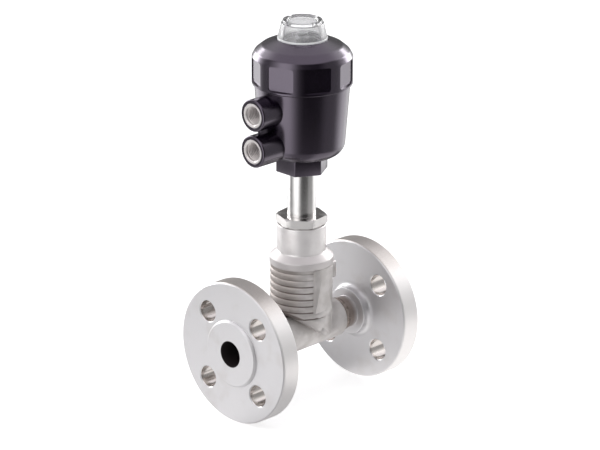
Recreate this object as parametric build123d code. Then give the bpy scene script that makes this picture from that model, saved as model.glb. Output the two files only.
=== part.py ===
"""Air-operated seat valve with flanged ends and a plastic piston actuator, in millimetres.

The frame is the pipe's: +X runs along the flow and +Z up along the actuator. The origin is the
centre of the inlet bore's mouth, in the plane of the inlet raised face. Each piece is first made
about the stem axis, with the flow axis at height zero, and is moved along the pipe when written.
"""
import os
from math import cos, radians, sqrt, tan

from build123d import *

# Running gap and assembly gap between round surfaces, on the radius
RUN = 0.05
FIT = 0.05
LOOSE = 0.3

# Small edge breaks
EDGE = 0.5
SOFT_EDGE = 0.8
HEX_BEVEL_ANGLE = 30.0

# Pipe line and flanges
FACE_TO_FACE = 130.0
FLANGE_OD = 95.0
FLANGE_THICKNESS = 16.0
FLANGE_EDGE = 1.0
RAISED_FACE_OD = 45.0
RAISED_FACE_HEIGHT = 2.0
BOLT_CIRCLE = 65.0
BOLT_HOLE = 14.0
BOLT_COUNT = 4
BOLT_TURN = 45.0
PIPE_BORE = 17.3
PIPE_OD = 21.3
HUB_OD = 32.0
HUB_LENGTH = 6.0
HUB_ROOT = 3.5
WELD_WIDTH = 3.6
WELD_HEIGHT = 0.9
WELD_ROUND = 1.2

# Cast body
PORT_OD = 27.0
PORT_REACH = 32.5
PORT_STUB = 1.0
PORT_ROUND = 2.5
PORT_BORE = 16.0
COLUMN_OD = 41.0
COLUMN_TOP = 52.0
COLLAR_HEIGHT = 4.5
COLLAR_PROUD = 0.4
COLLAR_ROUND = 1.2
SHOULDER_HEIGHT = 4.0
SHOULDER_ROUND = 1.5
NECK_OD = 32.0
NECK_TOP = 74.0
BOWL_SLOPE = 36.7
TAIL_SLOPE = 28.0
BOWL_LOW = -4.0
BOWL_ROUND = 5.0
RIB_PITCH = 4.5
RIB_COUNT = 8
RIB_LOWEST = 13.6
SHALLOW_GROOVES = 2
GROOVE_WIDTH = 0.5
GROOVE_DEPTH = 0.6
SHALLOW_DEPTH = 0.2
PAD_WIDTH = 15.4
PAD_FACE = 20.9
PAD_BOTTOM = 14.0
PAD_CORNER = 4.0
FOOT_FACE = 20.3
FOOT_ROUND = 3.0
LUG_WIDTH = 15.0
LUG_HEIGHT = 12.0
LUG_BOTTOM = 31.0
LUG_FACE = 25.8
LUG_ROUND = 1.5

# Flow space inside the body
CHAMBER_BORE = 32.0
CHAMBER_TOP = 43.0
CHAMBER_CONE = 5.0
FLOOR_WALL = 3.0
JACKET_WALL = 3.5
POCKET_OFFSET = 2.0
SEAT_BORE = 13.0
SEAT_BOSS = 19.0
SEAT_BOSS_TOP = 12.0
SEAT_LIP = 1.0
SEAT_LIP_FOOT = 16.4
SEAT_LIP_TOP = 15.2
THROAT_BORE = 20.8
SEAL_SEAT_BORE = 24.7
BONNET_THREAD = 26.0

# Bonnet: seal ring, threaded nipple and spindle tube
BODY_SEAL_THICKNESS = 2.0
COLLAR_THICKNESS = 4.0
FOOT_LENGTH = 4.0
NIPPLE_AF = 29.5
NIPPLE_HEX_HEIGHT = 5.5
NIPPLE_HEX_TURN = 9.4
NIPPLE_STEP = 0.7
NIPPLE_STEP_OD = 28.0
NIPPLE_BEVEL = 0.8
TUBE_OD = 18.6
TUBE_ID = 14.6
TUBE_FLOOR = 2.0
TUBE_FLOOR_HOLE = 8.8
TUBE_RISE = 5.0
SNAP_GROOVE_DEPTH = 0.7
SNAP_RING_THICKNESS = 1.2
SNAP_RING_OD = 21.2
SNAP_RING_GAP = 3.0

# Packing inside the tube, from the bottom up
LOWER_BUSH_LENGTH = 12.0
OIL_GROOVE_WIDTH = 2.0
OIL_GROOVE_DEPTH = 0.8
PACKING_SPRING_LENGTH = 14.0
PACKING_SPRING_WIRE = 1.4
PACKING_SPRING_TURNS = 4
THRUST_RING_THICKNESS = 3.0
V_RING_COUNT = 5
V_RING_PITCH = 2.4
V_RING_DROP = 1.2
SUPPORT_RING_THICKNESS = 3.0
GLAND_LENGTH = 10.0
SPANNER_HOLE = 1.6
SPANNER_HOLE_DEPTH = 3.0
UPPER_BUSH_LENGTH = 11.0
STEM_SEAL_HEIGHT = 3.0
STEM_SEAL_WEB = 1.2
RETAINER_THICKNESS = 2.5
TUBE_MOUTH = 1.5

# Spindle and valve plate
SPINDLE_D = 8.0
SPINDLE_THREAD = 6.0
STROKE = 6.0
SEAT_SEAL_OD = 18.6
SEAT_SEAL_THICKNESS = 3.0
SEAT_SEAL_PROUD = 0.6
PLATE_OD = 19.8
PLATE_THICKNESS = 5.0
PLATE_HUB_OD = 15.0
PLATE_HUB_HEIGHT = 8.0
PLATE_WASHER_OD = 11.6
PLATE_WASHER_THICKNESS = 1.2
PLATE_SCREW_D = 5.0
PLATE_SCREW_GRIP = 3.6
PLATE_SCREW_AF = 8.0
PLATE_SCREW_HEAD = 2.8
PLATE_SCREW_BEVEL = 0.3
PIN_D = 2.0
PIN_HEIGHT = 5.0
PIN_GROOVE_DEPTH = 1.0

# Actuator housing
HEX_AF = 30.0
HEX_TURN = 30.0
HEX_LENGTH = 11.3
HOUSING_BOTTOM = 122.0
HOUSING_FLOOR = 4.0
HOUSING_FOOT_WALL = 2.3
HOUSING_CORNER = 9.0
HOUSING_STEP = 1.4
HOUSING_HEIGHT = 47.2
CYLINDER_BORE = 50.0
CYLINDER_CORNER = 4.5
SKIRT_WALL = 4.4
SKIRT_SHORT = 1.6
PORT_BOSS_OD = 21.0
PORT_BOSS_PROUD = 15.2
LOWER_PORT_RISE = 11.0
PORT_SPACING = 24.0
PORT_WEB = 3.0
PORT_WEB_SHORT = 6.0
PORT_BOSS_ROUND = 1.0
INSERT_OD = 15.8
INSERT_LENGTH = 12.0
PORT_THREAD = 11.445
PORT_MOUTH = 13.4
INSERT_GROOVE = 0.5
INSERT_GROOVE_WIDTH = 1.5
AIR_HOLE = 4.0
HUB_RING_SECTION = 1.38
HUB_RING_WIDTH = 2.2
HUB_RING_RISES = (4.3, 7.9)

# Actuator cover and sight cap
COVER_WALL = 3.0
COVER_STEP = 1.3
COVER_RING_HEIGHT = 18.4
SHOULDER_RISE = 2.9
CROWN_RISE = 7.4
COVER_CROWN_INSET = 5.1
CROWN_ROUND = 6.0
SHOULDER_FILLET = 3.0
SHOULDER_DRAFT = 0.4
LAND_RISE = 11.4
COVER_LAND_WIDTH = 0.6
ROOF_RISE = 5.4
WINDOW_COUNT = 8
WINDOW_ANGLE = 31.0
WINDOW_TURN = 18.6
WINDOW_SILL = 2.4
WINDOW_HEAD = 0.6
WINDOW_DEPTH = 1.9
WINDOW_LEAD = 2.0
WINDOW_CORNER = 1.5
COVER_RING_SECTION = 1.84
COVER_RING_DROP = 4.0
ROD_BOSS_OD = 16.0
ROD_BOSS_DROP = 8.0
SPRING_ROOM_CORNER = 2.0
ROD_TOWER_OD = 9.0
CAP_WELL_DEPTH = 3.8
CAP_BASE_OD = 32.4
CAP_BASE_BAND = 1.2
CAP_BASE_STEP = 0.5
CAP_SHOULDER_OD = 27.2
CAP_SHOULDER_RISE = 10.6
CAP_RIM_OD = 25.4
CAP_RISE = 12.5
CAP_WALL = 1.6
CAP_ROOF = 1.2
CAP_DRAFT = 2.0
CAP_DISH_OD = 20.0
CAP_DISH_DEPTH = 1.1
CAP_DISH_DRAFT = 0.8
CAP_ROUND = 0.4
CAP_SPIGOT_OD = 27.8
CAP_SPIGOT_LENGTH = 3.4
CAP_NOTCHES = 4
CAP_NOTCH_WIDTH = 3.2
CAP_NOTCH_TURN = -4.0
CAP_RING_SECTION = 1.2

# Piston, springs and indicator
PISTON_PLAY = 0.4
PISTON_GAP = 5.5
PISTON_HEIGHT = 10.0
PISTON_DISH = 3.0
PISTON_HUB_OD = 17.0
PISTON_HUB_RISE = 2.5
PISTON_RIM = 3.2
LIP_SEAL_HEIGHT = 3.6
LIP_SEAL_DEPTH = 3.0
LIP_SEAL_Z = 2.2
LIP_WIDTH = 0.8
LIP_HOLLOW = 1.6
GUIDE_RING_HEIGHT = 1.8
GUIDE_RING_DEPTH = 1.2
GUIDE_RING_Z = 7.2
PISTON_WASHER_OD = 16.0
PISTON_WASHER_THICKNESS = 1.2
PISTON_RING_SECTION = 1.2
PISTON_NUT_AF = 10.0
PISTON_NUT_HEIGHT = 5.0
PISTON_NUT_BEVEL = 0.4
MAIN_SPRING_PLAY = 0.7
MAIN_SPRING_WIRE = 3.4
MAIN_SPRING_TURNS = 5
INNER_SPRING_PLAY = 2.8
INNER_SPRING_WIRE = 2.4
INNER_SPRING_TURNS = 7
CLOSED_TURN_PITCH = 1.06
ROD_D = 5.0
ROD_SLEEVE_OD = 9.2
ROD_SLEEVE_LENGTH = 9.0
ROD_GRIP = 6.0
INDICATOR_OD = 7.4
INDICATOR_WALL = 1.2
INDICATOR_SKIRT = 2.2

# Heights and reaches that follow from the sizes above
STEM_X = FACE_TO_FACE / 2
SEAT_Z = SEAT_BOSS_TOP + SEAT_LIP
SEAL_SEAT_Z = COLUMN_TOP
COLLAR_BOTTOM = SEAL_SEAT_Z + BODY_SEAL_THICKNESS
COLLAR_TOP = COLLAR_BOTTOM + COLLAR_THICKNESS
TUBE_BOTTOM = COLLAR_BOTTOM - BODY_SEAL_THICKNESS - FOOT_LENGTH
LOWER_BUSH_Z = TUBE_BOTTOM + TUBE_FLOOR
PACKING_SPRING_Z = LOWER_BUSH_Z + LOWER_BUSH_LENGTH
THRUST_RING_Z = PACKING_SPRING_Z + PACKING_SPRING_LENGTH
V_RING_Z = THRUST_RING_Z + THRUST_RING_THICKNESS
SUPPORT_RING_Z = V_RING_Z + V_RING_COUNT * V_RING_PITCH
GLAND_Z = SUPPORT_RING_Z + SUPPORT_RING_THICKNESS
CYLINDER_FLOOR = HOUSING_BOTTOM + HOUSING_FLOOR
TUBE_TOP = CYLINDER_FLOOR + TUBE_RISE
RETAINER_Z = TUBE_TOP - TUBE_MOUTH - RETAINER_THICKNESS
STEM_SEAL_Z = RETAINER_Z - STEM_SEAL_HEIGHT
UPPER_BUSH_BOTTOM = STEM_SEAL_Z - UPPER_BUSH_LENGTH
HEX_BOTTOM = HOUSING_BOTTOM - HEX_LENGTH
HUB_RING_Z = [HEX_BOTTOM + rise for rise in HUB_RING_RISES]
LOWER_PORT_Z = HOUSING_BOTTOM + LOWER_PORT_RISE
UPPER_PORT_Z = LOWER_PORT_Z + PORT_SPACING
HOUSING_SHOULDER = HOUSING_BOTTOM + HOUSING_HEIGHT
COVER_RING_TOP = HOUSING_SHOULDER + COVER_RING_HEIGHT
SKIRT_TOP = COVER_RING_TOP - SKIRT_SHORT
COVER_RING_Z = SKIRT_TOP - COVER_RING_DROP
COVER_ROOF = COVER_RING_TOP + ROOF_RISE
COVER_SHOULDER = COVER_RING_TOP + SHOULDER_RISE
COVER_CROWN = COVER_RING_TOP + CROWN_RISE
COVER_LAND = COVER_RING_TOP + LAND_RISE
WINDOW_BOTTOM = HOUSING_SHOULDER + WINDOW_SILL
WINDOW_TOP = COVER_RING_TOP - WINDOW_HEAD
CAP_SHOULDER = COVER_LAND + CAP_SHOULDER_RISE
CAP_TOP = COVER_LAND + CAP_RISE
LOWER_SNAP_Z = HEX_BOTTOM + LOOSE
UPPER_SNAP_Z = CYLINDER_FLOOR + RUN
RECESS_Z = SEAT_Z + SEAT_SEAL_THICKNESS
PLATE_RIM_Z = SEAT_Z + SEAT_SEAL_PROUD
PLATE_TOP = RECESS_Z + PLATE_THICKNESS
PLATE_HUB_TOP = PLATE_TOP + PLATE_HUB_HEIGHT
PISTON_BOTTOM = TUBE_TOP + PISTON_GAP
PISTON_TOP = PISTON_BOTTOM + PISTON_HEIGHT
SPRING_FOOT = PISTON_TOP - PISTON_DISH
PISTON_HUB_TOP = PISTON_TOP + PISTON_HUB_RISE
SPINDLE_SHOULDER = PISTON_BOTTOM - PISTON_WASHER_THICKNESS
NUT_TOP = PISTON_HUB_TOP + PISTON_NUT_HEIGHT
SPINDLE_TOP = NUT_TOP + ROD_GRIP
CAP_CEILING = CAP_TOP - CAP_DISH_DEPTH - CAP_ROOF
INDICATOR_TOP = CAP_CEILING - STROKE - LOOSE
SKIRT_OD = CYLINDER_BORE + 2 * SKIRT_WALL
HOUSING_FOOT_OD = CYLINDER_BORE + 2 * HOUSING_FOOT_WALL
HOUSING_TOP_OD = SKIRT_OD + 2 * HOUSING_STEP
COVER_OD = SKIRT_OD + 2 * COVER_WALL
COVER_SHOULDER_OD = COVER_OD - 2 * COVER_STEP
COVER_CROWN_OD = COVER_SHOULDER_OD - 2 * COVER_CROWN_INSET
COVER_LAND_OD = CAP_BASE_OD + 2 * COVER_LAND_WIDTH
PISTON_OD = CYLINDER_BORE - 2 * PISTON_PLAY
MAIN_SPRING_MEAN = PISTON_OD - 2 * (PISTON_RIM + MAIN_SPRING_PLAY) - MAIN_SPRING_WIRE
INNER_SPRING_MEAN = PISTON_HUB_OD + 2 * INNER_SPRING_PLAY + INNER_SPRING_WIRE
PORT_BOSS_REACH = SKIRT_OD / 2 + PORT_BOSS_PROUD
INSERT_END = INSERT_LENGTH - PORT_BOSS_REACH
HUB_RING_OD = TUBE_OD + 2 * (RUN + HUB_RING_SECTION)
COVER_BOTTOM = HOUSING_SHOULDER + LOOSE
CAP_RING_Z = COVER_LAND - CAP_SPIGOT_LENGTH / 2
SPINDLE_RUN = SPINDLE_D / 2 + RUN
TUBE_FIT = TUBE_ID / 2 - FIT


def section(corners):
    """Face in the radius-height plane; a third number on a corner is its rounding."""
    face = make_face(Polyline(*[(corner[0], corner[1]) for corner in corners], close=True))
    for corner in corners:
        if len(corner) == 3:
            face = fillet(face.vertices().sort_by_distance((corner[0], corner[1]))[0], corner[2])
    return face


def turned(*corners):
    """Solid turned about the stem axis from its corner points."""
    return revolve(Plane.XZ * section(corners), Axis.Z)


def ring(inner_r, outer_r, bottom, top):
    """Plain ring between two radii and two heights."""
    return turned((inner_r, bottom), (outer_r, bottom), (outer_r, top), (inner_r, top))


def disc(radius, bottom, top):
    """Plain cylinder between two heights."""
    return Pos(0, 0, bottom) * Cylinder(radius, top - bottom, align=(Align.CENTER, Align.CENTER, Align.MIN))


def bar_x(radius, low_x, high_x, height=0.0):
    """Cylinder lying along the pipe between two stations."""
    along = Cylinder(radius, high_x - low_x, align=(Align.CENTER, Align.CENTER, Align.MIN))
    return Pos(low_x, 0, height) * Rot(0, 90, 0) * along


def hexagon(across_flats, bottom, top, turn=0.0):
    """Hexagonal prism; turn is the plan angle of its first corner."""
    outline = Rot(0, 0, turn) * RegularPolygon(across_flats / 2, 6, major_radius=False)
    return Pos(0, 0, bottom) * extrude(outline, top - bottom)


def toroid(mean_r, section_d, height):
    """O-ring of round section about the stem axis."""
    return Pos(0, 0, height) * Torus(mean_r, section_d / 2)


def chamfered_hexagon(across_flats, bottom, top, turn, bevel):
    """Hexagon with its corners turned off in a cone at the top and the bottom."""
    corner_r = across_flats / 2 / cos(radians(30))
    touch_r = corner_r - bevel / tan(radians(HEX_BEVEL_ANGLE))
    blank = turned(
        (0, bottom), (touch_r, bottom), (corner_r, bottom + bevel),
        (corner_r, top - bevel), (touch_r, top), (0, top),
    )
    return hexagon(across_flats, bottom, top, turn) & blank


def above_slope(offset, slope=BOWL_SLOPE):
    """Block above a plane that slants through the bowl's lowest line, raised by an offset."""
    size = 4 * COLUMN_OD
    block = Box(size, size, size, align=(Align.CENTER, Align.CENTER, Align.MIN))
    return Pos(PAD_WIDTH / 2, 0, BOWL_LOW + offset) * Rot(0, slope, 0) * block


def column():
    """Cast column whose underside slants up towards the inlet."""
    low = BOWL_LOW - COLUMN_OD * tan(radians(BOWL_SLOPE))
    blank = disc(COLUMN_OD / 2, low, COLUMN_TOP) & above_slope(0)
    rim = blank.edges().filter_by(GeomType.ELLIPSE)
    return fillet(rim, BOWL_ROUND) & above_slope(0, TAIL_SLOPE)


def neck_and_collar():
    """Turned upper end of the casting: collar band, shoulder cone and neck."""
    collar_r = COLUMN_OD / 2 + COLLAR_PROUD
    collar_z = COLUMN_TOP - COLLAR_HEIGHT
    return turned(
        (0, collar_z - COLLAR_PROUD), (COLUMN_OD / 2, collar_z - COLLAR_PROUD), (collar_r, collar_z),
        (collar_r, COLUMN_TOP, COLLAR_ROUND), (NECK_OD / 2, COLUMN_TOP + SHOULDER_HEIGHT, SHOULDER_ROUND),
        (NECK_OD / 2, NECK_TOP), (0, NECK_TOP),
    )


def ports():
    """Horizontal barrel, rounded at both ends, with a short stub for each weld."""
    half = turned(
        (0, 0), (PORT_OD / 2, 0), (PORT_OD / 2, PORT_REACH - PORT_STUB, PORT_ROUND),
        (PIPE_OD / 2, PORT_REACH - PORT_STUB), (PIPE_OD / 2, PORT_REACH), (0, PORT_REACH),
    )
    return Rot(0, 90, 0) * half + Rot(0, -90, 0) * half


def side_pad(side):
    """Flat cast pad down one side of the column, with round lower corners."""
    height = COLUMN_TOP - COLLAR_HEIGHT - PAD_BOTTOM
    outline = Pos(0, PAD_BOTTOM + height / 2) * Rectangle(PAD_WIDTH, height)
    outline = fillet(outline.vertices().group_by(Axis.Y)[0], PAD_CORNER)
    slab = extrude(Plane.XZ * outline, PAD_FACE)
    return slab if side < 0 else mirror(slab, Plane.XZ)


def pad_foot(side):
    """Lower end of a side pad, carried down the bowl at its outlet edge."""
    top = PAD_BOTTOM + PAD_CORNER
    low = BOWL_LOW - FOOT_FACE
    block = Box(PAD_WIDTH / 2, FOOT_FACE, top - low, align=(Align.MIN, Align.MAX, Align.MIN))
    foot = Pos(0, 0, low) * block & above_slope(0)
    sole = foot.faces().sort_by(Axis.Z)[0].edges()
    foot = fillet([sole.sort_by(Axis.Y)[0], sole.sort_by(Axis.X)[-1]], FOOT_ROUND)
    return foot if side < 0 else mirror(foot, Plane.XZ)


def casting_lug():
    """Small cast lug over the outlet."""
    depth = LUG_FACE - CHAMBER_BORE / 2 - 2
    lug = Box(depth, LUG_WIDTH, LUG_HEIGHT, align=(Align.MAX, Align.CENTER, Align.MIN))
    lug = fillet(lug.edges().filter_by(Axis.X) + lug.faces().sort_by(Axis.X)[-1].edges(), LUG_ROUND)
    return Pos(LUG_FACE, 0, LUG_BOTTOM) * lug


def rib_grooves():
    """Grooves that leave the column's ribs standing."""
    outside = COLUMN_OD / 2 + 1
    cuts = None
    for index in range(RIB_COUNT):
        middle = RIB_LOWEST + index * RIB_PITCH
        depth = SHALLOW_DEPTH if index >= RIB_COUNT - SHALLOW_GROOVES else GROOVE_DEPTH
        floor_r = COLUMN_OD / 2 - depth
        flare = GROOVE_WIDTH / 2 + (outside - floor_r) / 2
        cut = turned(
            (floor_r, middle - GROOVE_WIDTH / 2), (outside, middle - flare),
            (outside, middle + flare), (floor_r, middle + GROOVE_WIDTH / 2),
        )
        cuts = cut if cuts is None else cuts + cut
    return cuts


def inlet_jacket(radius):
    """Inlet way of a given radius, closed by a dome under the seat."""
    return bar_x(radius, -PORT_REACH - 1, -POCKET_OFFSET) + Pos(-POCKET_OFFSET, 0, 0) * Sphere(radius)


def seat_boss():
    """Solid boss with the raised lip that the seal closes on."""
    return turned(
        (0, 0), (SEAT_BOSS / 2, 0), (SEAT_BOSS / 2, SEAT_BOSS_TOP), (SEAT_LIP_FOOT / 2, SEAT_BOSS_TOP),
        (SEAT_LIP_TOP / 2, SEAT_Z), (0, SEAT_Z),
    )


def chamber():
    """Room above the seat, with the way down to the outlet and the cone up to the throat."""
    room = disc(CHAMBER_BORE / 2, -PORT_BORE / 2, CHAMBER_TOP) & above_slope(FLOOR_WALL)
    room += bar_x(PORT_BORE / 2, 0, PORT_REACH + 1)
    room -= inlet_jacket(PORT_BORE / 2 + JACKET_WALL)
    room -= seat_boss()
    room += turned(
        (0, CHAMBER_TOP), (CHAMBER_BORE / 2, CHAMBER_TOP), (THROAT_BORE / 2, CHAMBER_TOP + CHAMBER_CONE),
        (THROAT_BORE / 2, SEAL_SEAT_Z), (SEAL_SEAT_BORE / 2, SEAL_SEAT_Z), (SEAL_SEAT_BORE / 2, COLLAR_TOP),
        (BONNET_THREAD / 2 + FIT, COLLAR_TOP), (BONNET_THREAD / 2 + FIT, NECK_TOP + 1), (0, NECK_TOP + 1),
    )
    return room


def globe_body():
    """Cast body with its column, ports, partition, seat and neck."""
    solid = column() - rib_grooves()
    solid += neck_and_collar()
    for side in (-1, 1):
        solid += side_pad(side) + pad_foot(side)
    solid += casting_lug()
    solid += ports()
    solid -= chamber()
    solid -= inlet_jacket(PORT_BORE / 2)
    solid -= disc(SEAT_BORE / 2, 0, SEAT_Z + 1)
    return solid


def flange_blank():
    """Weld-neck flange about its own axis, raised face at height zero."""
    hub_end = FLANGE_THICKNESS + HUB_LENGTH
    neck_end = FACE_TO_FACE / 2 - PORT_REACH
    weld_low = neck_end - WELD_WIDTH
    edge_r = FLANGE_OD / 2
    solid = turned(
        (PIPE_BORE / 2, 0), (RAISED_FACE_OD / 2, 0), (RAISED_FACE_OD / 2, RAISED_FACE_HEIGHT),
        (edge_r - FLANGE_EDGE, RAISED_FACE_HEIGHT), (edge_r, RAISED_FACE_HEIGHT + FLANGE_EDGE),
        (edge_r, FLANGE_THICKNESS - FLANGE_EDGE), (edge_r - FLANGE_EDGE, FLANGE_THICKNESS),
        (HUB_OD / 2, FLANGE_THICKNESS, HUB_ROOT), (HUB_OD / 2, hub_end), (PIPE_OD / 2, hub_end),
        (PIPE_OD / 2, weld_low), (PIPE_OD / 2 + WELD_HEIGHT, (weld_low + neck_end) / 2, WELD_ROUND),
        (PIPE_OD / 2, neck_end), (PIPE_BORE / 2, neck_end),
    )
    holes = PolarLocations(BOLT_CIRCLE / 2, BOLT_COUNT, start_angle=BOLT_TURN)
    return solid - holes * disc(BOLT_HOLE / 2, 0, FLANGE_THICKNESS + 1)


def inlet_flange():
    """Flange at the inlet, its neck pointing along the flow."""
    return Pos(-FACE_TO_FACE / 2, 0, 0) * Rot(0, 90, 0) * flange_blank()


def outlet_flange():
    """Flange at the outlet, its neck pointing back along the pipe."""
    return Pos(FACE_TO_FACE / 2, 0, 0) * Rot(0, -90, 0) * flange_blank()


def body_seal():
    """Flat ring between the body and the tube's collar."""
    return ring(THROAT_BORE / 2 + FIT, SEAL_SEAT_BORE / 2 - FIT, SEAL_SEAT_Z, COLLAR_BOTTOM)


def bonnet_nipple():
    """Threaded nipple with a hexagon, which clamps the tube's collar in the neck."""
    hex_bottom = NECK_TOP + NIPPLE_STEP
    hex_top = hex_bottom + NIPPLE_HEX_HEIGHT
    solid = disc(BONNET_THREAD / 2, COLLAR_TOP, NECK_TOP)
    solid += disc(NIPPLE_STEP_OD / 2, NECK_TOP, hex_bottom)
    solid += chamfered_hexagon(NIPPLE_AF, hex_bottom, hex_top, 180 + NIPPLE_HEX_TURN, NIPPLE_BEVEL)
    return solid - disc(TUBE_OD / 2 + FIT, COLLAR_TOP - 1, hex_top + 1)


def spindle_tube():
    """Polished tube with a clamped collar, a floor for the packing and two snap-ring grooves."""
    outer, inner = TUBE_OD / 2, TUBE_ID / 2
    foot = THROAT_BORE / 2 - FIT
    collar = SEAL_SEAT_BORE / 2 - FIT
    solid = turned(
        (TUBE_FLOOR_HOLE / 2, TUBE_BOTTOM), (foot, TUBE_BOTTOM), (foot, COLLAR_BOTTOM),
        (collar, COLLAR_BOTTOM),
        (collar, COLLAR_TOP), (outer, COLLAR_TOP), (outer, TUBE_TOP - EDGE), (outer - EDGE, TUBE_TOP),
        (inner, TUBE_TOP), (inner, LOWER_BUSH_Z), (TUBE_FLOOR_HOLE / 2, LOWER_BUSH_Z),
    )
    for bottom in (LOWER_SNAP_Z, UPPER_SNAP_Z):
        solid -= ring(outer - SNAP_GROOVE_DEPTH, outer + 1, bottom - RUN, bottom + SNAP_RING_THICKNESS + RUN)
    return solid


def snap_ring(bottom):
    """Open spring ring that sits in one of the tube's grooves."""
    inner = TUBE_OD / 2 - SNAP_GROOVE_DEPTH + FIT
    solid = ring(inner, SNAP_RING_OD / 2, bottom, bottom + SNAP_RING_THICKNESS)
    height = 2 * SNAP_RING_THICKNESS
    slot = Box(SNAP_RING_OD, SNAP_RING_GAP, height, align=(Align.MIN, Align.CENTER, Align.MIN))
    return solid - Pos(0, 0, bottom - SNAP_RING_THICKNESS / 2) * slot


def tube_snap_rings():
    """Both snap rings that hold the actuator on the tube."""
    return [snap_ring(LOWER_SNAP_Z), snap_ring(UPPER_SNAP_Z)]


def packing_sleeve(bottom, top):
    """Ring that fills the space between the spindle and the tube."""
    return ring(SPINDLE_RUN, TUBE_FIT, bottom, top)


def lower_guide_bush():
    """Guide bush on the tube's floor, with an oil groove in its bore."""
    groove_z = LOWER_BUSH_Z + (LOWER_BUSH_LENGTH - OIL_GROOVE_WIDTH) / 2
    groove = disc(SPINDLE_RUN + OIL_GROOVE_DEPTH, groove_z, groove_z + OIL_GROOVE_WIDTH)
    return packing_sleeve(LOWER_BUSH_Z, PACKING_SPRING_Z) - groove


def thrust_ring():
    """Ring that carries the spring's push into the packing, with a vee on top."""
    middle = (SPINDLE_RUN + TUBE_FIT) / 2
    return turned(
        (SPINDLE_RUN, THRUST_RING_Z), (TUBE_FIT, THRUST_RING_Z), (TUBE_FIT, V_RING_Z - V_RING_DROP),
        (middle, V_RING_Z), (SPINDLE_RUN, V_RING_Z - V_RING_DROP),
    )


def packing_rings():
    """Stack of vee rings, each a separate ring."""
    middle = (SPINDLE_RUN + TUBE_FIT) / 2
    rings = []
    for index in range(V_RING_COUNT):
        low = V_RING_Z + index * V_RING_PITCH
        high = low + V_RING_PITCH
        rings.append(turned(
            (SPINDLE_RUN, low - V_RING_DROP), (middle, low), (TUBE_FIT, low - V_RING_DROP),
            (TUBE_FIT, high - V_RING_DROP), (middle, high), (SPINDLE_RUN, high - V_RING_DROP),
        ))
    return rings


def support_ring():
    """Ring over the packing, hollowed to fit the top vee."""
    middle = (SPINDLE_RUN + TUBE_FIT) / 2
    return turned(
        (SPINDLE_RUN, SUPPORT_RING_Z - V_RING_DROP), (middle, SUPPORT_RING_Z),
        (TUBE_FIT, SUPPORT_RING_Z - V_RING_DROP), (TUBE_FIT, GLAND_Z), (SPINDLE_RUN, GLAND_Z),
    )


def gland_bush():
    """Bush that holds the packing down in the tube, with two spanner holes."""
    top = GLAND_Z + GLAND_LENGTH
    reach = (SPINDLE_RUN + TUBE_FIT) / 2
    hole = disc(SPANNER_HOLE / 2, top - SPANNER_HOLE_DEPTH, top + 1)
    return packing_sleeve(GLAND_Z, top) - PolarLocations(reach, 2) * hole


def upper_guide_bush():
    """Guide bush for the spindle at the top of the tube."""
    return packing_sleeve(UPPER_BUSH_BOTTOM, STEM_SEAL_Z)


def stem_seal():
    """Lip seal that keeps the actuator's air off the spindle tube."""
    lip, web_z = STEM_SEAL_WEB - RUN, STEM_SEAL_Z + STEM_SEAL_WEB
    return turned(
        (SPINDLE_RUN, STEM_SEAL_Z), (TUBE_FIT, STEM_SEAL_Z), (TUBE_FIT, RETAINER_Z),
        (TUBE_FIT - lip, RETAINER_Z), (TUBE_FIT - STEM_SEAL_WEB, web_z),
        (SPINDLE_RUN + STEM_SEAL_WEB, web_z), (SPINDLE_RUN + lip, RETAINER_Z), (SPINDLE_RUN, RETAINER_Z),
    )


def seal_retainer():
    """Pressed ring that keeps the lip seal in the tube."""
    return ring(SPINDLE_D / 2 + LOOSE, TUBE_FIT, RETAINER_Z, RETAINER_Z + RETAINER_THICKNESS)


def half_turn(radius, side, low, rise):
    """Half of one spring turn, as a tilted arc between opposite sides."""
    start, end = (side * radius, 0, low), (-side * radius, 0, low + rise)
    return ThreePointArc(start, (0, side * radius, low + rise / 2), end)


def coil(mean_d, wire, bottom, top, turns):
    """Compression spring with a closed, ground turn at each end; turns counts them all."""
    closed_rise = wire * CLOSED_TURN_PITCH / 2
    low, high = bottom + wire / 4, top - wire / 4
    open_rise = (high - low - 4 * closed_rise) / (2 * turns - 4)
    arcs = []
    height = low
    for index in range(2 * turns):
        rise = closed_rise if index < 2 or index >= 2 * turns - 2 else open_rise
        arcs.append(half_turn(mean_d / 2, 1 if index % 2 == 0 else -1, height, rise))
        height += rise
    path = Wire(arcs)
    wire_solid = sweep(Plane(origin=path @ 0, z_dir=path % 0) * Circle(wire / 2), path=path)
    return wire_solid & disc(mean_d / 2 + wire, bottom, top)


def packing_spring():
    """Spring that keeps the vee rings tight as they wear."""
    mean = (SPINDLE_D + TUBE_ID) / 2
    return coil(mean, PACKING_SPRING_WIRE, PACKING_SPRING_Z, THRUST_RING_Z, PACKING_SPRING_TURNS)


def pin_pair(radius, overhang):
    """Two cross pins, or the holes for them, either side of the spindle's groove."""
    offset = SPINDLE_D / 2 - PIN_GROOVE_DEPTH + PIN_D / 2 + RUN
    reach = sqrt((PLATE_HUB_OD / 2) ** 2 - (offset + PIN_D / 2) ** 2) + overhang
    height = PLATE_TOP + PIN_HEIGHT
    return [Pos(0, side * offset, 0) * bar_x(radius, -reach, reach, height) for side in (-1, 1)]


def plate_pins():
    """Pins that hold the valve plate on the spindle and let it turn there."""
    return pin_pair(PIN_D / 2, 0)


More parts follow.
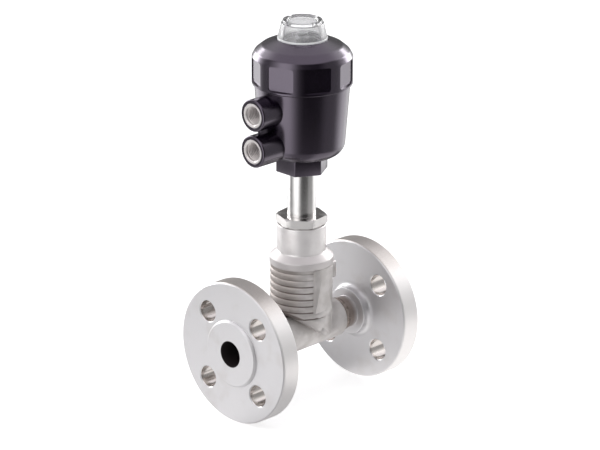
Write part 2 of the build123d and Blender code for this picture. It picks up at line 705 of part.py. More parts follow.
def valve_plate():
    """Disc that carries the seat seal, with the hub that hangs on the spindle."""
    plate_r, hub_r, seal_r = PLATE_OD / 2, PLATE_HUB_OD / 2, SEAT_SEAL_OD / 2 + FIT
    solid = turned(
        (0, RECESS_Z), (seal_r, RECESS_Z), (seal_r, PLATE_RIM_Z), (plate_r, PLATE_RIM_Z),
        (plate_r, PLATE_TOP, SOFT_EDGE), (hub_r, PLATE_TOP), (hub_r, PLATE_HUB_TOP, SOFT_EDGE),
        (0, PLATE_HUB_TOP),
    )
    solid -= disc(SPINDLE_RUN, PLATE_TOP, PLATE_HUB_TOP + 1)
    solid -= disc(PLATE_SCREW_D / 2 + FIT, RECESS_Z - 1, RECESS_Z + PLATE_SCREW_GRIP + FIT)
    for hole in pin_pair(PIN_D / 2 + FIT, 1):
        solid -= hole
    return solid


def seat_seal():
    """Soft disc in the plate's recess, which closes on the seat lip."""
    return ring(PLATE_SCREW_D / 2 + FIT, SEAT_SEAL_OD / 2, SEAT_Z, RECESS_Z)


def plate_washer():
    """Washer that clamps the seat seal from below, inside the seat bore."""
    return ring(PLATE_SCREW_D / 2 + FIT, PLATE_WASHER_OD / 2, SEAT_Z - PLATE_WASHER_THICKNESS, SEAT_Z)


def plate_screw():
    """Hexagon screw that holds the washer and the seal to the plate."""
    head_top = SEAT_Z - PLATE_WASHER_THICKNESS
    head = chamfered_hexagon(PLATE_SCREW_AF, head_top - PLATE_SCREW_HEAD, head_top, 0, PLATE_SCREW_BEVEL)
    return head + disc(PLATE_SCREW_D / 2, head_top - 1, RECESS_Z + PLATE_SCREW_GRIP)


def spindle():
    """Polished rod from the plate to the piston, grooved for the pins and threaded at its top."""
    rod_r, thread_r = SPINDLE_D / 2, SPINDLE_THREAD / 2
    solid = turned(
        (0, PLATE_TOP + RUN), (rod_r - EDGE, PLATE_TOP + RUN), (rod_r, PLATE_TOP + RUN + EDGE),
        (rod_r, SPINDLE_SHOULDER), (thread_r, SPINDLE_SHOULDER), (thread_r, SPINDLE_TOP - EDGE),
        (thread_r - EDGE, SPINDLE_TOP), (0, SPINDLE_TOP),
    )
    middle = PLATE_TOP + PIN_HEIGHT
    half = PIN_D / 2 + 2 * RUN
    return solid - ring(rod_r - PIN_GROOVE_DEPTH, rod_r + 1, middle - half, middle + half)


def piston():
    """Dished piston with grooves for its lip seal and its guide ring."""
    outer, hub, bore = PISTON_OD / 2, PISTON_HUB_OD / 2, SPINDLE_THREAD / 2 + FIT
    solid = turned(
        (bore, PISTON_BOTTOM), (outer, PISTON_BOTTOM, SOFT_EDGE), (outer, PISTON_TOP),
        (outer - PISTON_RIM, PISTON_TOP), (outer - PISTON_RIM, SPRING_FOOT), (hub, SPRING_FOOT),
        (hub, PISTON_HUB_TOP, SOFT_EDGE), (bore, PISTON_HUB_TOP),
    )
    seal_low = PISTON_BOTTOM + LIP_SEAL_Z
    guide_low = PISTON_BOTTOM + GUIDE_RING_Z
    solid -= ring(outer - LIP_SEAL_DEPTH, outer + 1, seal_low, seal_low + LIP_SEAL_HEIGHT)
    solid -= ring(outer - GUIDE_RING_DEPTH, outer + 1, guide_low, guide_low + GUIDE_RING_HEIGHT)
    cup = PISTON_RING_SECTION + FIT
    return solid - disc(bore + cup, PISTON_BOTTOM - 1, PISTON_BOTTOM + cup)


def piston_lip_seal():
    """Lip seal that faces down, towards the air that lifts the piston."""
    low = PISTON_BOTTOM + LIP_SEAL_Z + FIT
    high = PISTON_BOTTOM + LIP_SEAL_Z + LIP_SEAL_HEIGHT - FIT
    inner = PISTON_OD / 2 - LIP_SEAL_DEPTH + FIT
    outer = CYLINDER_BORE / 2 - RUN
    middle = (inner + outer) / 2
    return turned(
        (inner, low), (inner + LIP_WIDTH, low), (middle, low + LIP_HOLLOW), (outer - LIP_WIDTH, low),
        (outer, low), (outer - EDGE, high), (inner, high),
    )


def piston_guide_ring():
    """Plain ring that keeps the piston off the cylinder wall."""
    low = PISTON_BOTTOM + GUIDE_RING_Z + FIT
    high = PISTON_BOTTOM + GUIDE_RING_Z + GUIDE_RING_HEIGHT - FIT
    return ring(PISTON_OD / 2 - GUIDE_RING_DEPTH + FIT, CYLINDER_BORE / 2 - RUN, low, high)


def piston_washer():
    """Washer between the spindle's shoulder and the piston."""
    return ring(SPINDLE_THREAD / 2 + FIT, PISTON_WASHER_OD / 2, SPINDLE_SHOULDER, PISTON_BOTTOM)


def piston_o_ring():
    """Seal in the recess at the foot of the piston's bore, round the spindle's thread."""
    mean_r = (SPINDLE_THREAD + PISTON_RING_SECTION) / 2 + FIT
    return toroid(mean_r, PISTON_RING_SECTION, PISTON_BOTTOM + PISTON_RING_SECTION / 2)


def piston_nut():
    """Hexagon nut that clamps the piston on the spindle."""
    nut = chamfered_hexagon(PISTON_NUT_AF, PISTON_HUB_TOP, NUT_TOP, 0, PISTON_NUT_BEVEL)
    return nut - disc(SPINDLE_THREAD / 2 + FIT, PISTON_HUB_TOP - 1, NUT_TOP + 1)


def indicator_rod():
    """Rod on top of the spindle that carries the position indicator up into the sight cap."""
    bore, sleeve, rod = SPINDLE_THREAD / 2 + FIT, ROD_SLEEVE_OD / 2, ROD_D / 2
    sleeve_top = NUT_TOP + ROD_SLEEVE_LENGTH
    top = INDICATOR_TOP - INDICATOR_WALL
    return turned(
        (0, SPINDLE_TOP), (bore, SPINDLE_TOP), (bore, NUT_TOP), (sleeve, NUT_TOP),
        (sleeve, sleeve_top, SOFT_EDGE), (rod, sleeve_top), (rod, top), (0, top),
    )


def indicator_cap():
    """Bright cap on the rod's end, seen through the sight cap."""
    bore, outer = ROD_D / 2 + FIT, INDICATOR_OD / 2
    roof, skirt = INDICATOR_TOP - INDICATOR_WALL, INDICATOR_TOP - INDICATOR_SKIRT
    return turned(
        (0, roof), (bore, roof), (bore, skirt), (outer, skirt), (outer, INDICATOR_TOP, EDGE),
        (0, INDICATOR_TOP),
    )


def housing_shell():
    """Turned form of the housing: round foot, tapered wall and threaded skirt."""
    return turned(
        (0, HOUSING_BOTTOM), (HOUSING_FOOT_OD / 2, HOUSING_BOTTOM, HOUSING_CORNER),
        (HOUSING_TOP_OD / 2, HOUSING_SHOULDER, EDGE), (SKIRT_OD / 2, HOUSING_SHOULDER),
        (SKIRT_OD / 2, SKIRT_TOP), (0, SKIRT_TOP),
    )


def port_boss(height):
    """Round boss that carries one air port, pointing towards the inlet."""
    boss = bar_x(PORT_BOSS_OD / 2, -PORT_BOSS_REACH, 0, height)
    return fillet(boss.edges().filter_by(GeomType.CIRCLE).sort_by(Axis.X)[0], PORT_BOSS_ROUND)


def cylinder_room():
    """Room inside the housing: the hub's bore and the piston's cylinder."""
    hub_r, cylinder_r = TUBE_OD / 2 + RUN, CYLINDER_BORE / 2
    return turned(
        (0, HEX_BOTTOM - 1), (hub_r, HEX_BOTTOM - 1), (hub_r, CYLINDER_FLOOR),
        (cylinder_r, CYLINDER_FLOOR, CYLINDER_CORNER), (cylinder_r, SKIRT_TOP + 1), (0, SKIRT_TOP + 1),
    )


def actuator_housing():
    """Moulded housing with the cylinder bore, the hexagon hub and two air-port bosses."""
    solid = housing_shell() + hexagon(HEX_AF, HEX_BOTTOM, HOUSING_BOTTOM + 1, HEX_TURN)
    web_reach = PORT_BOSS_REACH - PORT_WEB_SHORT
    web = Box(web_reach, PORT_WEB, PORT_SPACING, align=(Align.MAX, Align.CENTER, Align.MIN))
    solid += Pos(0, 0, LOWER_PORT_Z) * web
    for height in (LOWER_PORT_Z, UPPER_PORT_Z):
        solid += port_boss(height)
    solid -= cylinder_room()
    for height in (LOWER_PORT_Z, UPPER_PORT_Z):
        solid -= bar_x(INSERT_OD / 2 + FIT, -PORT_BOSS_REACH - 1, INSERT_END + FIT, height)
        solid -= bar_x(AIR_HOLE / 2, -PORT_BOSS_REACH, 0, height)
    solid -= disc(SNAP_RING_OD / 2 + LOOSE, HEX_BOTTOM - 1, LOWER_SNAP_Z + SNAP_RING_THICKNESS + 2 * RUN)
    for height in HUB_RING_Z:
        solid -= ring(TUBE_OD / 2, HUB_RING_OD / 2 + RUN, height, height + HUB_RING_WIDTH)
    cut = COVER_RING_SECTION + 2 * FIT
    solid -= ring(SKIRT_OD / 2 - cut + FIT, SKIRT_OD / 2 + 1, COVER_RING_Z - cut / 2, COVER_RING_Z + cut / 2)
    return solid


def hub_o_rings():
    """Seals between the housing's hub and the tube, one in each groove."""
    mean_r = (HUB_RING_OD - HUB_RING_SECTION) / 2
    return [toroid(mean_r, HUB_RING_SECTION, height + HUB_RING_WIDTH / 2) for height in HUB_RING_Z]


def port_insert(height):
    """Threaded metal insert in the mouth of one air port."""
    mouth_r, thread_r, outer = PORT_MOUTH / 2, PORT_THREAD / 2, INSERT_OD / 2
    groove_low = (INSERT_LENGTH - INSERT_GROOVE_WIDTH) / 2
    groove_high = groove_low + INSERT_GROOVE_WIDTH
    solid = turned(
        (thread_r, 0), (outer, 0), (outer, groove_low), (outer - INSERT_GROOVE, groove_low),
        (outer - INSERT_GROOVE, groove_high), (outer, groove_high), (outer, INSERT_LENGTH),
        (mouth_r, INSERT_LENGTH), (thread_r, INSERT_LENGTH - mouth_r + thread_r),
    )
    return Pos(INSERT_END, 0, height) * Rot(0, -90, 0) * solid


def lower_port_insert():
    """Insert of the lower port, which feeds the room under the piston."""
    return port_insert(LOWER_PORT_Z)


def upper_port_insert():
    """Insert of the upper port, which vents the spring room."""
    return port_insert(UPPER_PORT_Z)


def crown():
    """Outer skin of the cover from its ring up the domed shoulder to the cap's land."""
    ring_r, shoulder_r, land_r = COVER_OD / 2, COVER_SHOULDER_OD / 2, COVER_LAND_OD / 2
    shoulder_z = COVER_RING_TOP + ring_r - shoulder_r
    return turned(
        (0, COVER_BOTTOM), (ring_r, COVER_BOTTOM, EDGE), (ring_r, COVER_RING_TOP, SOFT_EDGE),
        (shoulder_r, shoulder_z, SOFT_EDGE), (shoulder_r - SHOULDER_DRAFT, COVER_SHOULDER, SHOULDER_FILLET),
        (COVER_CROWN_OD / 2, COVER_CROWN, CROWN_ROUND), (land_r, COVER_LAND), (0, COVER_LAND),
    )


def grip_window(index):
    """Recess in the cover's ring, with a flat floor and rounded corners."""
    height = WINDOW_TOP - WINDOW_BOTTOM
    outer_r = COVER_OD / 2
    width = 2 * outer_r * tan(radians(WINDOW_ANGLE / 2))
    outline = fillet(Rectangle(width, height).vertices(), WINDOW_CORNER)
    block = Pos(outer_r - WINDOW_DEPTH, 0, 0) * extrude(Plane.YZ * outline, WINDOW_DEPTH + WINDOW_LEAD)
    turn = 180 + WINDOW_TURN + index * 360 / WINDOW_COUNT
    return Rot(0, 0, turn) * Pos(0, 0, (WINDOW_TOP + WINDOW_BOTTOM) / 2) * block


def actuator_cover():
    """Screwed cover with grip windows, spring seat, rod guide and the well for the sight cap."""
    solid = crown()
    for index in range(WINDOW_COUNT):
        solid -= grip_window(index)
    skirt_r, skirt_z, room_r = SKIRT_OD / 2 + FIT, SKIRT_TOP + 2 * FIT, CYLINDER_BORE / 2
    boss_r, boss_z = ROD_BOSS_OD / 2, COVER_ROOF - ROD_BOSS_DROP
    solid -= turned(
        (0, HOUSING_SHOULDER), (skirt_r, HOUSING_SHOULDER), (skirt_r, skirt_z), (room_r, skirt_z),
        (room_r, COVER_ROOF, SPRING_ROOM_CORNER), (boss_r, COVER_ROOF), (boss_r, boss_z), (0, boss_z),
    )
    solid -= ring(ROD_TOWER_OD / 2, CAP_SPIGOT_OD / 2 + FIT, COVER_LAND - CAP_WELL_DEPTH, COVER_LAND + 1)
    return solid - disc(ROD_D / 2 + 2 * RUN, HOUSING_SHOULDER, COVER_LAND + 1)


def cover_o_ring():
    """Seal between the housing's skirt and the cover."""
    return toroid((SKIRT_OD - COVER_RING_SECTION) / 2, COVER_RING_SECTION, COVER_RING_Z)


def sight_cap():
    """Clear cap with a dished top, notched rim and threaded spigot."""
    base_r, shoulder_r, rim_r = CAP_BASE_OD / 2, CAP_SHOULDER_OD / 2, CAP_RIM_OD / 2
    spigot_r, dish_r = CAP_SPIGOT_OD / 2, CAP_DISH_OD / 2
    inner_r = spigot_r - CAP_WALL
    spigot_z, band_z = COVER_LAND - CAP_SPIGOT_LENGTH, COVER_LAND + CAP_BASE_BAND
    floor_z = CAP_TOP - CAP_DISH_DEPTH
    solid = turned(
        (inner_r, spigot_z), (spigot_r, spigot_z), (spigot_r, COVER_LAND), (base_r, COVER_LAND),
        (base_r, band_z), (base_r - CAP_BASE_STEP, band_z), (shoulder_r, CAP_SHOULDER, CAP_ROUND),
        (rim_r, CAP_SHOULDER), (rim_r, CAP_TOP, CAP_ROUND), (dish_r, CAP_TOP),
        (dish_r - CAP_DISH_DRAFT, floor_z), (0, floor_z), (0, CAP_CEILING),
        (inner_r - CAP_DRAFT, CAP_CEILING, CAP_ROUND), (inner_r, band_z),
    )
    notch = Box(CAP_BASE_OD, CAP_NOTCH_WIDTH, CAP_TOP, align=(Align.MIN, Align.CENTER, Align.MIN))
    notch = Pos(0, 0, CAP_SHOULDER) * (notch - disc(dish_r, 0, CAP_TOP))
    solid -= PolarLocations(0, CAP_NOTCHES, start_angle=CAP_NOTCH_TURN) * notch
    cut = CAP_RING_SECTION + 2 * FIT
    return solid - ring(spigot_r - cut + FIT, spigot_r + 1, CAP_RING_Z - cut / 2, CAP_RING_Z + cut / 2)


def cap_seal():
    """Ring that keeps water out under the sight cap."""
    return toroid((CAP_SPIGOT_OD - CAP_RING_SECTION) / 2, CAP_RING_SECTION, CAP_RING_Z)


def main_spring():
    """Outer closing spring between the piston and the cover."""
    return coil(MAIN_SPRING_MEAN, MAIN_SPRING_WIRE, SPRING_FOOT, COVER_ROOF, MAIN_SPRING_TURNS)


def inner_spring():
    """Inner closing spring, nested in the main one."""
    return coil(INNER_SPRING_MEAN, INNER_SPRING_WIRE, SPRING_FOOT, COVER_ROOF, INNER_SPRING_TURNS)


PIECES = (
    globe_body, inlet_flange, outlet_flange, body_seal, bonnet_nipple, spindle_tube, tube_snap_rings,
    lower_guide_bush, packing_spring, thrust_ring, packing_rings, support_ring, gland_bush, upper_guide_bush,
    stem_seal, seal_retainer, actuator_housing, hub_o_rings, lower_port_insert, upper_port_insert,
    actuator_cover, cover_o_ring, sight_cap, cap_seal, main_spring, inner_spring, spindle, piston,
    piston_lip_seal, piston_guide_ring, piston_washer, piston_o_ring, piston_nut, indicator_rod,
    indicator_cap, valve_plate, seat_seal, plate_washer, plate_screw, plate_pins,
)

os.makedirs("parts", exist_ok=True)
for make in PIECES:
    made = make()
    solids = made if isinstance(made, list) else [made]
    placed = [Pos(STEM_X, 0, 0) * solid for item in solids for solid in item.solids()]
    export_step(placed[0] if len(placed) == 1 else Compound(children=placed), f"parts/{make.__name__}.step")
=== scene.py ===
"""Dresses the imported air-operated seat valve: turned, cast and moulded pieces, finishes and studio.

Sizes are in millimetres and become metres when a mesh is made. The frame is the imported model's:
+X along the pipe, +Z up the actuator, the origin at the centre of the inlet bore's mouth.
"""
import logging
from dataclasses import dataclass, field
from enum import Enum
from functools import cache
from math import acos, atan2, cos, hypot, pi, radians, sin, tan
from typing import Sequence

import bmesh
import bpy
from mathutils import Matrix, Vector


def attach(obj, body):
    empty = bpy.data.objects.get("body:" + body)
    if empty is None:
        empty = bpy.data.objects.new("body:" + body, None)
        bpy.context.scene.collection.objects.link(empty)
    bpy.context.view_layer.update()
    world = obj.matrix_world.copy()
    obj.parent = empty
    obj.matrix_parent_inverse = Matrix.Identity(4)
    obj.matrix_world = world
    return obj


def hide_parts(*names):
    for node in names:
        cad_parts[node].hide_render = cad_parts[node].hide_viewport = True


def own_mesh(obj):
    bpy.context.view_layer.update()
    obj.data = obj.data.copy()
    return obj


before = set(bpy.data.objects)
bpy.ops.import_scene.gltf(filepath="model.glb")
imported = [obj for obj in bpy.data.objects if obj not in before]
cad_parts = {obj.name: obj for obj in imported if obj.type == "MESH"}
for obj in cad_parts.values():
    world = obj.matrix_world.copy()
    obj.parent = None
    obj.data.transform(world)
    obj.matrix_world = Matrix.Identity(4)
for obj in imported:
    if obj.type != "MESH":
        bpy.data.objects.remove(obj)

LOG = logging.getLogger("valve")

MM = 0.001
STEM_X = 65.0
AT_STEM = Matrix.Translation((STEM_X * MM, 0.0, 0.0))
LEAD = 1.0  # How far a cutter runs on past what it cuts, in millimetres.

Colour = tuple[float, float, float]
Spot = tuple[float, float, float]
Point = tuple[float, float]
Pair = tuple[float, float]


class Body(Enum):
    """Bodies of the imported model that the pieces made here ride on."""

    VALVE = "valve_body"
    ACTUATOR = "actuator"


class Along(Enum):
    """Direction in which a turned piece's own axis points."""

    UP = "up"
    FLOW = "flow"
    UPSTREAM = "upstream"

    def turn(self) -> Matrix:
        """Turn that brings +Z onto this direction."""
        angle = {Along.UP: 0.0, Along.FLOW: 90.0, Along.UPSTREAM: -90.0}[self]
        return Matrix.Rotation(radians(angle), 4, "Y")


class Cut(Enum):
    """Ways in which one solid is joined with another."""

    DIFFERENCE = "DIFFERENCE"
    UNION = "UNION"
    INTERSECT = "INTERSECT"


class Wire:
    """Output socket of a shader node, which takes part in Python expressions."""

    def __init__(self, sheet: "Sheet", socket: bpy.types.NodeSocket) -> None:
        """Wraps a socket.

        Args:
            sheet: The node sheet that the socket belongs to.
            socket: The output socket.
        """
        self.sheet = sheet
        self.socket = socket

    def reckon(self, operation: str, *terms: "Term") -> "Wire":
        """Adds a Math node.

        Args:
            operation: The Math node's operation.
            terms: Its inputs in order.

        Returns:
            The node's result.
        """
        return self.sheet.add("ShaderNodeMath", {"operation": operation}, dict(enumerate(terms)))

    def __add__(self, other: "Term") -> "Wire":
        """Sum."""
        return self.reckon("ADD", self, other)

    __radd__ = __add__

    def __sub__(self, other: "Term") -> "Wire":
        """Difference."""
        return self.reckon("SUBTRACT", self, other)

    def __rsub__(self, other: "Term") -> "Wire":
        """Difference from a number."""
        return self.reckon("SUBTRACT", other, self)

    def __mul__(self, other: "Term") -> "Wire":
        """Product."""
        return self.reckon("MULTIPLY", self, other)

    __rmul__ = __mul__

    def __truediv__(self, other: "Term") -> "Wire":
        """Quotient."""
        return self.reckon("DIVIDE", self, other)

    def __gt__(self, other: "Term") -> "Wire":
        """One where this is greater."""
        return self.reckon("GREATER_THAN", self, other)

    def __lt__(self, other: "Term") -> "Wire":
        """One where this is less."""
        return self.reckon("LESS_THAN", self, other)

    def sine(self) -> "Wire":
        """Sine of an angle in radians."""
        return self.reckon("SINE", self)

    def size(self) -> "Wire":
        """Absolute value."""
        return self.reckon("ABSOLUTE", self)

    def ramp(self, low: float, high: float) -> "Wire":
        """Smooth rise from 0 at low to 1 at high.

        Args:
            low: Value at which the rise starts.
            high: Value at which it ends.

        Returns:
            The risen value.
        """
        settings = {"interpolation_type": "SMOOTHERSTEP"}
        ends = {"Value": self, "From Min": low, "From Max": high}
        return self.sheet.add("ShaderNodeMapRange", settings, ends)

    def rise(self, low: float, high: float) -> "Wire":
        """Smooth rise of a length in metres between two lengths in millimetres."""
        return self.ramp(low * MM, high * MM)


Term = Wire | float


class Sheet:
    """Node tree of one material or of the world."""

    def __init__(self, tree: bpy.types.NodeTree) -> None:
        """Clears a tree and keeps it.

        Args:
            tree: The tree to fill.
        """
        self.tree = tree
        tree.nodes.clear()

    def add(
        self, kind: str, settings: dict | None = None, inputs: dict | None = None, output: int | str = 0
    ) -> Wire:
        """Adds a node, sets it, and gives or links its inputs.

        Args:
            kind: The node's type name.
            settings: Its properties; "stops" holds a colour ramp's places and colours.
            inputs: Values or wires by socket name or number.
            output: Which output to hand back.

        Returns:
            The wanted output; a node without outputs hands back its first input.
        """
        node = self.tree.nodes.new(kind)
        for name, value in (settings or {}).items():
            if name == "stops":
                self.set_stops(node.color_ramp, value)
            else:
                setattr(node, name, value)
        for key, value in (inputs or {}).items():
            if isinstance(value, Wire):
                self.tree.links.new(value.socket, node.inputs[key])
            elif isinstance(value, tuple) and len(value) == 3 and node.inputs[key].type == "RGBA":
                node.inputs[key].default_value = (*value, 1.0)
            else:
                node.inputs[key].default_value = value
        return Wire(self, node.outputs[output] if node.outputs else node.inputs[0])

    @staticmethod
    def set_stops(ramp: bpy.types.ColorRamp, stops: Sequence[Point]) -> None:
        """Gives a ramp its grey stops.

        Args:
            ramp: The ramp to fill.
            stops: Place and grey level of each stop, in order.
        """
        while len(ramp.elements) < len(stops):
            ramp.elements.new(1.0)
        for element, (place, level) in zip(ramp.elements, stops):
            element.position = place
            element.color = (level, level, level, 1.0)

    def place(self) -> Wire:
        """Object coordinates in metres."""
        return self.add("ShaderNodeTexCoord", {}, {}, "Object")

    def parts(self, vector: Wire) -> tuple[Wire, Wire, Wire]:
        """Splits a vector.

        Args:
            vector: The vector to split.

        Returns:
            Its three components.
        """
        first = self.add("ShaderNodeSeparateXYZ", {}, {0: vector})
        node = first.socket.node
        return first, Wire(self, node.outputs[1]), Wire(self, node.outputs[2])

    def grain(self, cells_per_mm: float, detail: float = 2.0, scale: Spot = (1.0, 1.0, 1.0)) -> Wire:
        """Fractal noise over Object coordinates.

        Args:
            cells_per_mm: How fine the noise is.
            detail: How many finer layers it has.
            scale: Stretch along each axis before the noise is read.

        Returns:
            The noise, from 0 to 1.
        """
        place = self.add("ShaderNodeVectorMath", {"operation": "MULTIPLY"}, {0: self.place(), 1: scale})
        inputs = {"Vector": place, "Scale": cells_per_mm / MM, "Detail": detail}
        return self.add("ShaderNodeTexNoise", {}, inputs)

    def waves(self, run: Wire, per_mm: float) -> Wire:
        """Even waves along a length.

        Args:
            run: The length in metres.
            per_mm: Waves in a millimetre.

        Returns:
            Their height, from 0 to 1.
        """
        return (run * (2 * pi * per_mm / MM)).sine() * 0.5 + 0.5

    def distance(self, first: Wire, second: Wire) -> Wire:
        """Length of two components at right angles."""
        square = first * first + second * second
        return square.reckon("SQRT", square)

    def blend(self, share: Term, low: Wire | Colour, high: Wire | Colour) -> Wire:
        """Mixes two colours.

        Args:
            share: Share of the second colour.
            low: Colour at 0.
            high: Colour at 1.

        Returns:
            The mixed colour.
        """
        node = self.tree.nodes.new("ShaderNodeMix")
        node.data_type = "RGBA"
        for index, value in ((0, share), (6, low), (7, high)):
            if isinstance(value, Wire):
                self.tree.links.new(value.socket, node.inputs[index])
            else:
                node.inputs[index].default_value = (*value, 1.0) if isinstance(value, tuple) else value
        return Wire(self, node.outputs[2])

    def bump(self, height: Wire, depth_mm: float, strength: float) -> Wire:
        """Normal shaken by a height.

        Args:
            height: The height, from 0 to 1.
            depth_mm: What a height of 1 stands for.
            strength: Share of the effect.

        Returns:
            The normal.
        """
        inputs = {"Strength": strength, "Distance": depth_mm * MM, "Height": height}
        return self.add("ShaderNodeBump", {}, inputs)


@dataclass(frozen=True)
class Finish:
    """Common part of every finish: a name and a principled surface."""

    name: str

    def paint(self, sheet: Sheet) -> dict:
        """Inputs of the principled shader.

        Args:
            sheet: The material's node sheet.

        Returns:
            Values and wires by socket name.
        """
        raise NotImplementedError

    @cache
    def material(self) -> bpy.types.Material:
        """The finish's material, made once."""
        made = bpy.data.materials.new(self.name)
        made.use_nodes = True
        sheet = Sheet(made.node_tree)
        sheet.add("ShaderNodeOutputMaterial", {}, {"Surface": self.surface(sheet)})
        return made

    def surface(self, sheet: Sheet) -> Wire:
        """The finish's shader.

        Args:
            sheet: The sheet that the nodes go into.

        Returns:
            The shader's output.
        """
        return sheet.add("ShaderNodeBsdfPrincipled", {}, self.paint(sheet))


@dataclass(frozen=True)
class CastSteel(Finish):
    """Shot-blasted stainless casting: a pale dull skin, with painted shade in its grooves and a painted brown
    reflection on its inlet side.
    """

    skin: Colour = (0.66, 0.635, 0.625)
    shade: Colour = (0.55, 0.525, 0.51)
    # Painted shade: dark colour laid into the grooves between the ribs.
    groove_shade: Colour = (0.20, 0.165, 0.15)
    groove_shade_share: float = 0.85
    # Painted reflection: brown of the inlet flange and weld laid on the column's inlet side.
    inlet_reflection: Colour = (0.40, 0.35, 0.325)
    inlet_reflection_share: float = 0.45
    inlet_reflection_mottle: float = 0.5
    inlet_reflection_rise: float = 6.0
    inlet_reflection_reach: float = 0.55
    metallic: float = 0.60
    roughness: float = 0.48
    pit_rough: float = 0.16
    column: float = 20.5
    groove: float = 0.35
    groove_edge: float = 0.05
    grooves_from: float = 13.0
    grooves_to: float = 46.0
    blotch_cells: float = 0.10
    blotch_span: Pair = (0.35, 0.70)
    pit_cells: float = 2.2
    pit_share: float = 0.45
    shot_cells: float = 0.9
    relief: float = 0.05
    relief_share: float = 0.7

    def paint(self, sheet: Sheet) -> dict:
        """Inputs of the principled shader."""
        x, y, z = sheet.parts(sheet.place())
        radius = sheet.distance(x - STEM_X * MM, y)
        blotch = sheet.grain(self.blotch_cells, 3.0)
        pits = sheet.grain(self.pit_cells, 3.0)
        shot = sheet.grain(self.shot_cells)
        colour = sheet.blend(blotch.ramp(*self.blotch_span), self.shade, self.skin)
        # Painted reflection: browner towards the inlet, above where the grooves start.
        inlet_side = 1.0 - x.rise(STEM_X - self.column, STEM_X - self.inlet_reflection_reach * self.column)
        high = z.rise(self.grooves_from, self.grooves_from + self.inlet_reflection_rise)
        inlet_reflection_amount = self.inlet_reflection_share + self.inlet_reflection_mottle * pits
        colour = sheet.blend(inlet_side * high * inlet_reflection_amount, colour, self.inlet_reflection)
        # Painted shade: darker in the grooves, below the ribs' radius and within the grooved band.
        groove_shade_mask = 1.0 - radius.rise(self.column - self.groove, self.column - self.groove_edge)
        banded = (z > self.grooves_from * MM) * (z < self.grooves_to * MM)
        colour = sheet.blend(groove_shade_mask * banded * self.groove_shade_share, colour, self.groove_shade)
        grit = pits * self.pit_share + shot * (1.0 - self.pit_share)
        return {
            "Base Color": colour, "Metallic": self.metallic,
            "Roughness": self.roughness + self.pit_rough * pits,
            "Normal": sheet.bump(grit, self.relief, self.relief_share),
        }


@dataclass(frozen=True)
class TurnedSteel(Finish):
    """Bright lathe-turned steel with fine tool lines round the stem axis."""

    tint: Colour = (0.80, 0.775, 0.77)
    shade: Colour = (0.73, 0.70, 0.695)
    roughness: float = 0.27
    lines_per_mm: float = 3.0
    line_depth: float = 0.004
    metallic: float = 0.42
    line_share: float = 0.7
    dull: Colour = (0.62, 0.59, 0.585)
    dull_below: float = -100.0
    dull_edge: Pair = (-1.0, 0.3)
    dull_rough: float = 0.14
    mirror_above: float = 1000.0
    stain_cells: float = 0.12
    stain_span: Pair = (0.35, 0.75)
    fleck_cells: float = 1.6
    fleck_rough: float = 0.10

    def paint(self, sheet: Sheet) -> dict:
        """Inputs of the principled shader."""
        x, y, z = sheet.parts(sheet.place())
        radius = sheet.distance(x - STEM_X * MM, y)
        lines = sheet.waves(radius + z, self.lines_per_mm)
        stain = sheet.grain(self.stain_cells, 3.0)
        fleck = sheet.grain(self.fleck_cells)
        colour = sheet.blend(stain.ramp(*self.stain_span), self.tint, self.shade)
        start, end = self.dull_edge
        low = 1.0 - z.rise(self.dull_below + start, self.dull_below + end)
        colour = sheet.blend(low, colour, self.dull)
        metallic = (z > self.mirror_above * MM) * (1.0 - self.metallic) + self.metallic
        rough = self.roughness + self.fleck_rough * fleck + self.dull_rough * low
        return {
            "Base Color": colour, "Metallic": metallic, "Roughness": rough,
            "Normal": sheet.bump(lines, self.line_depth, self.line_share),
        }


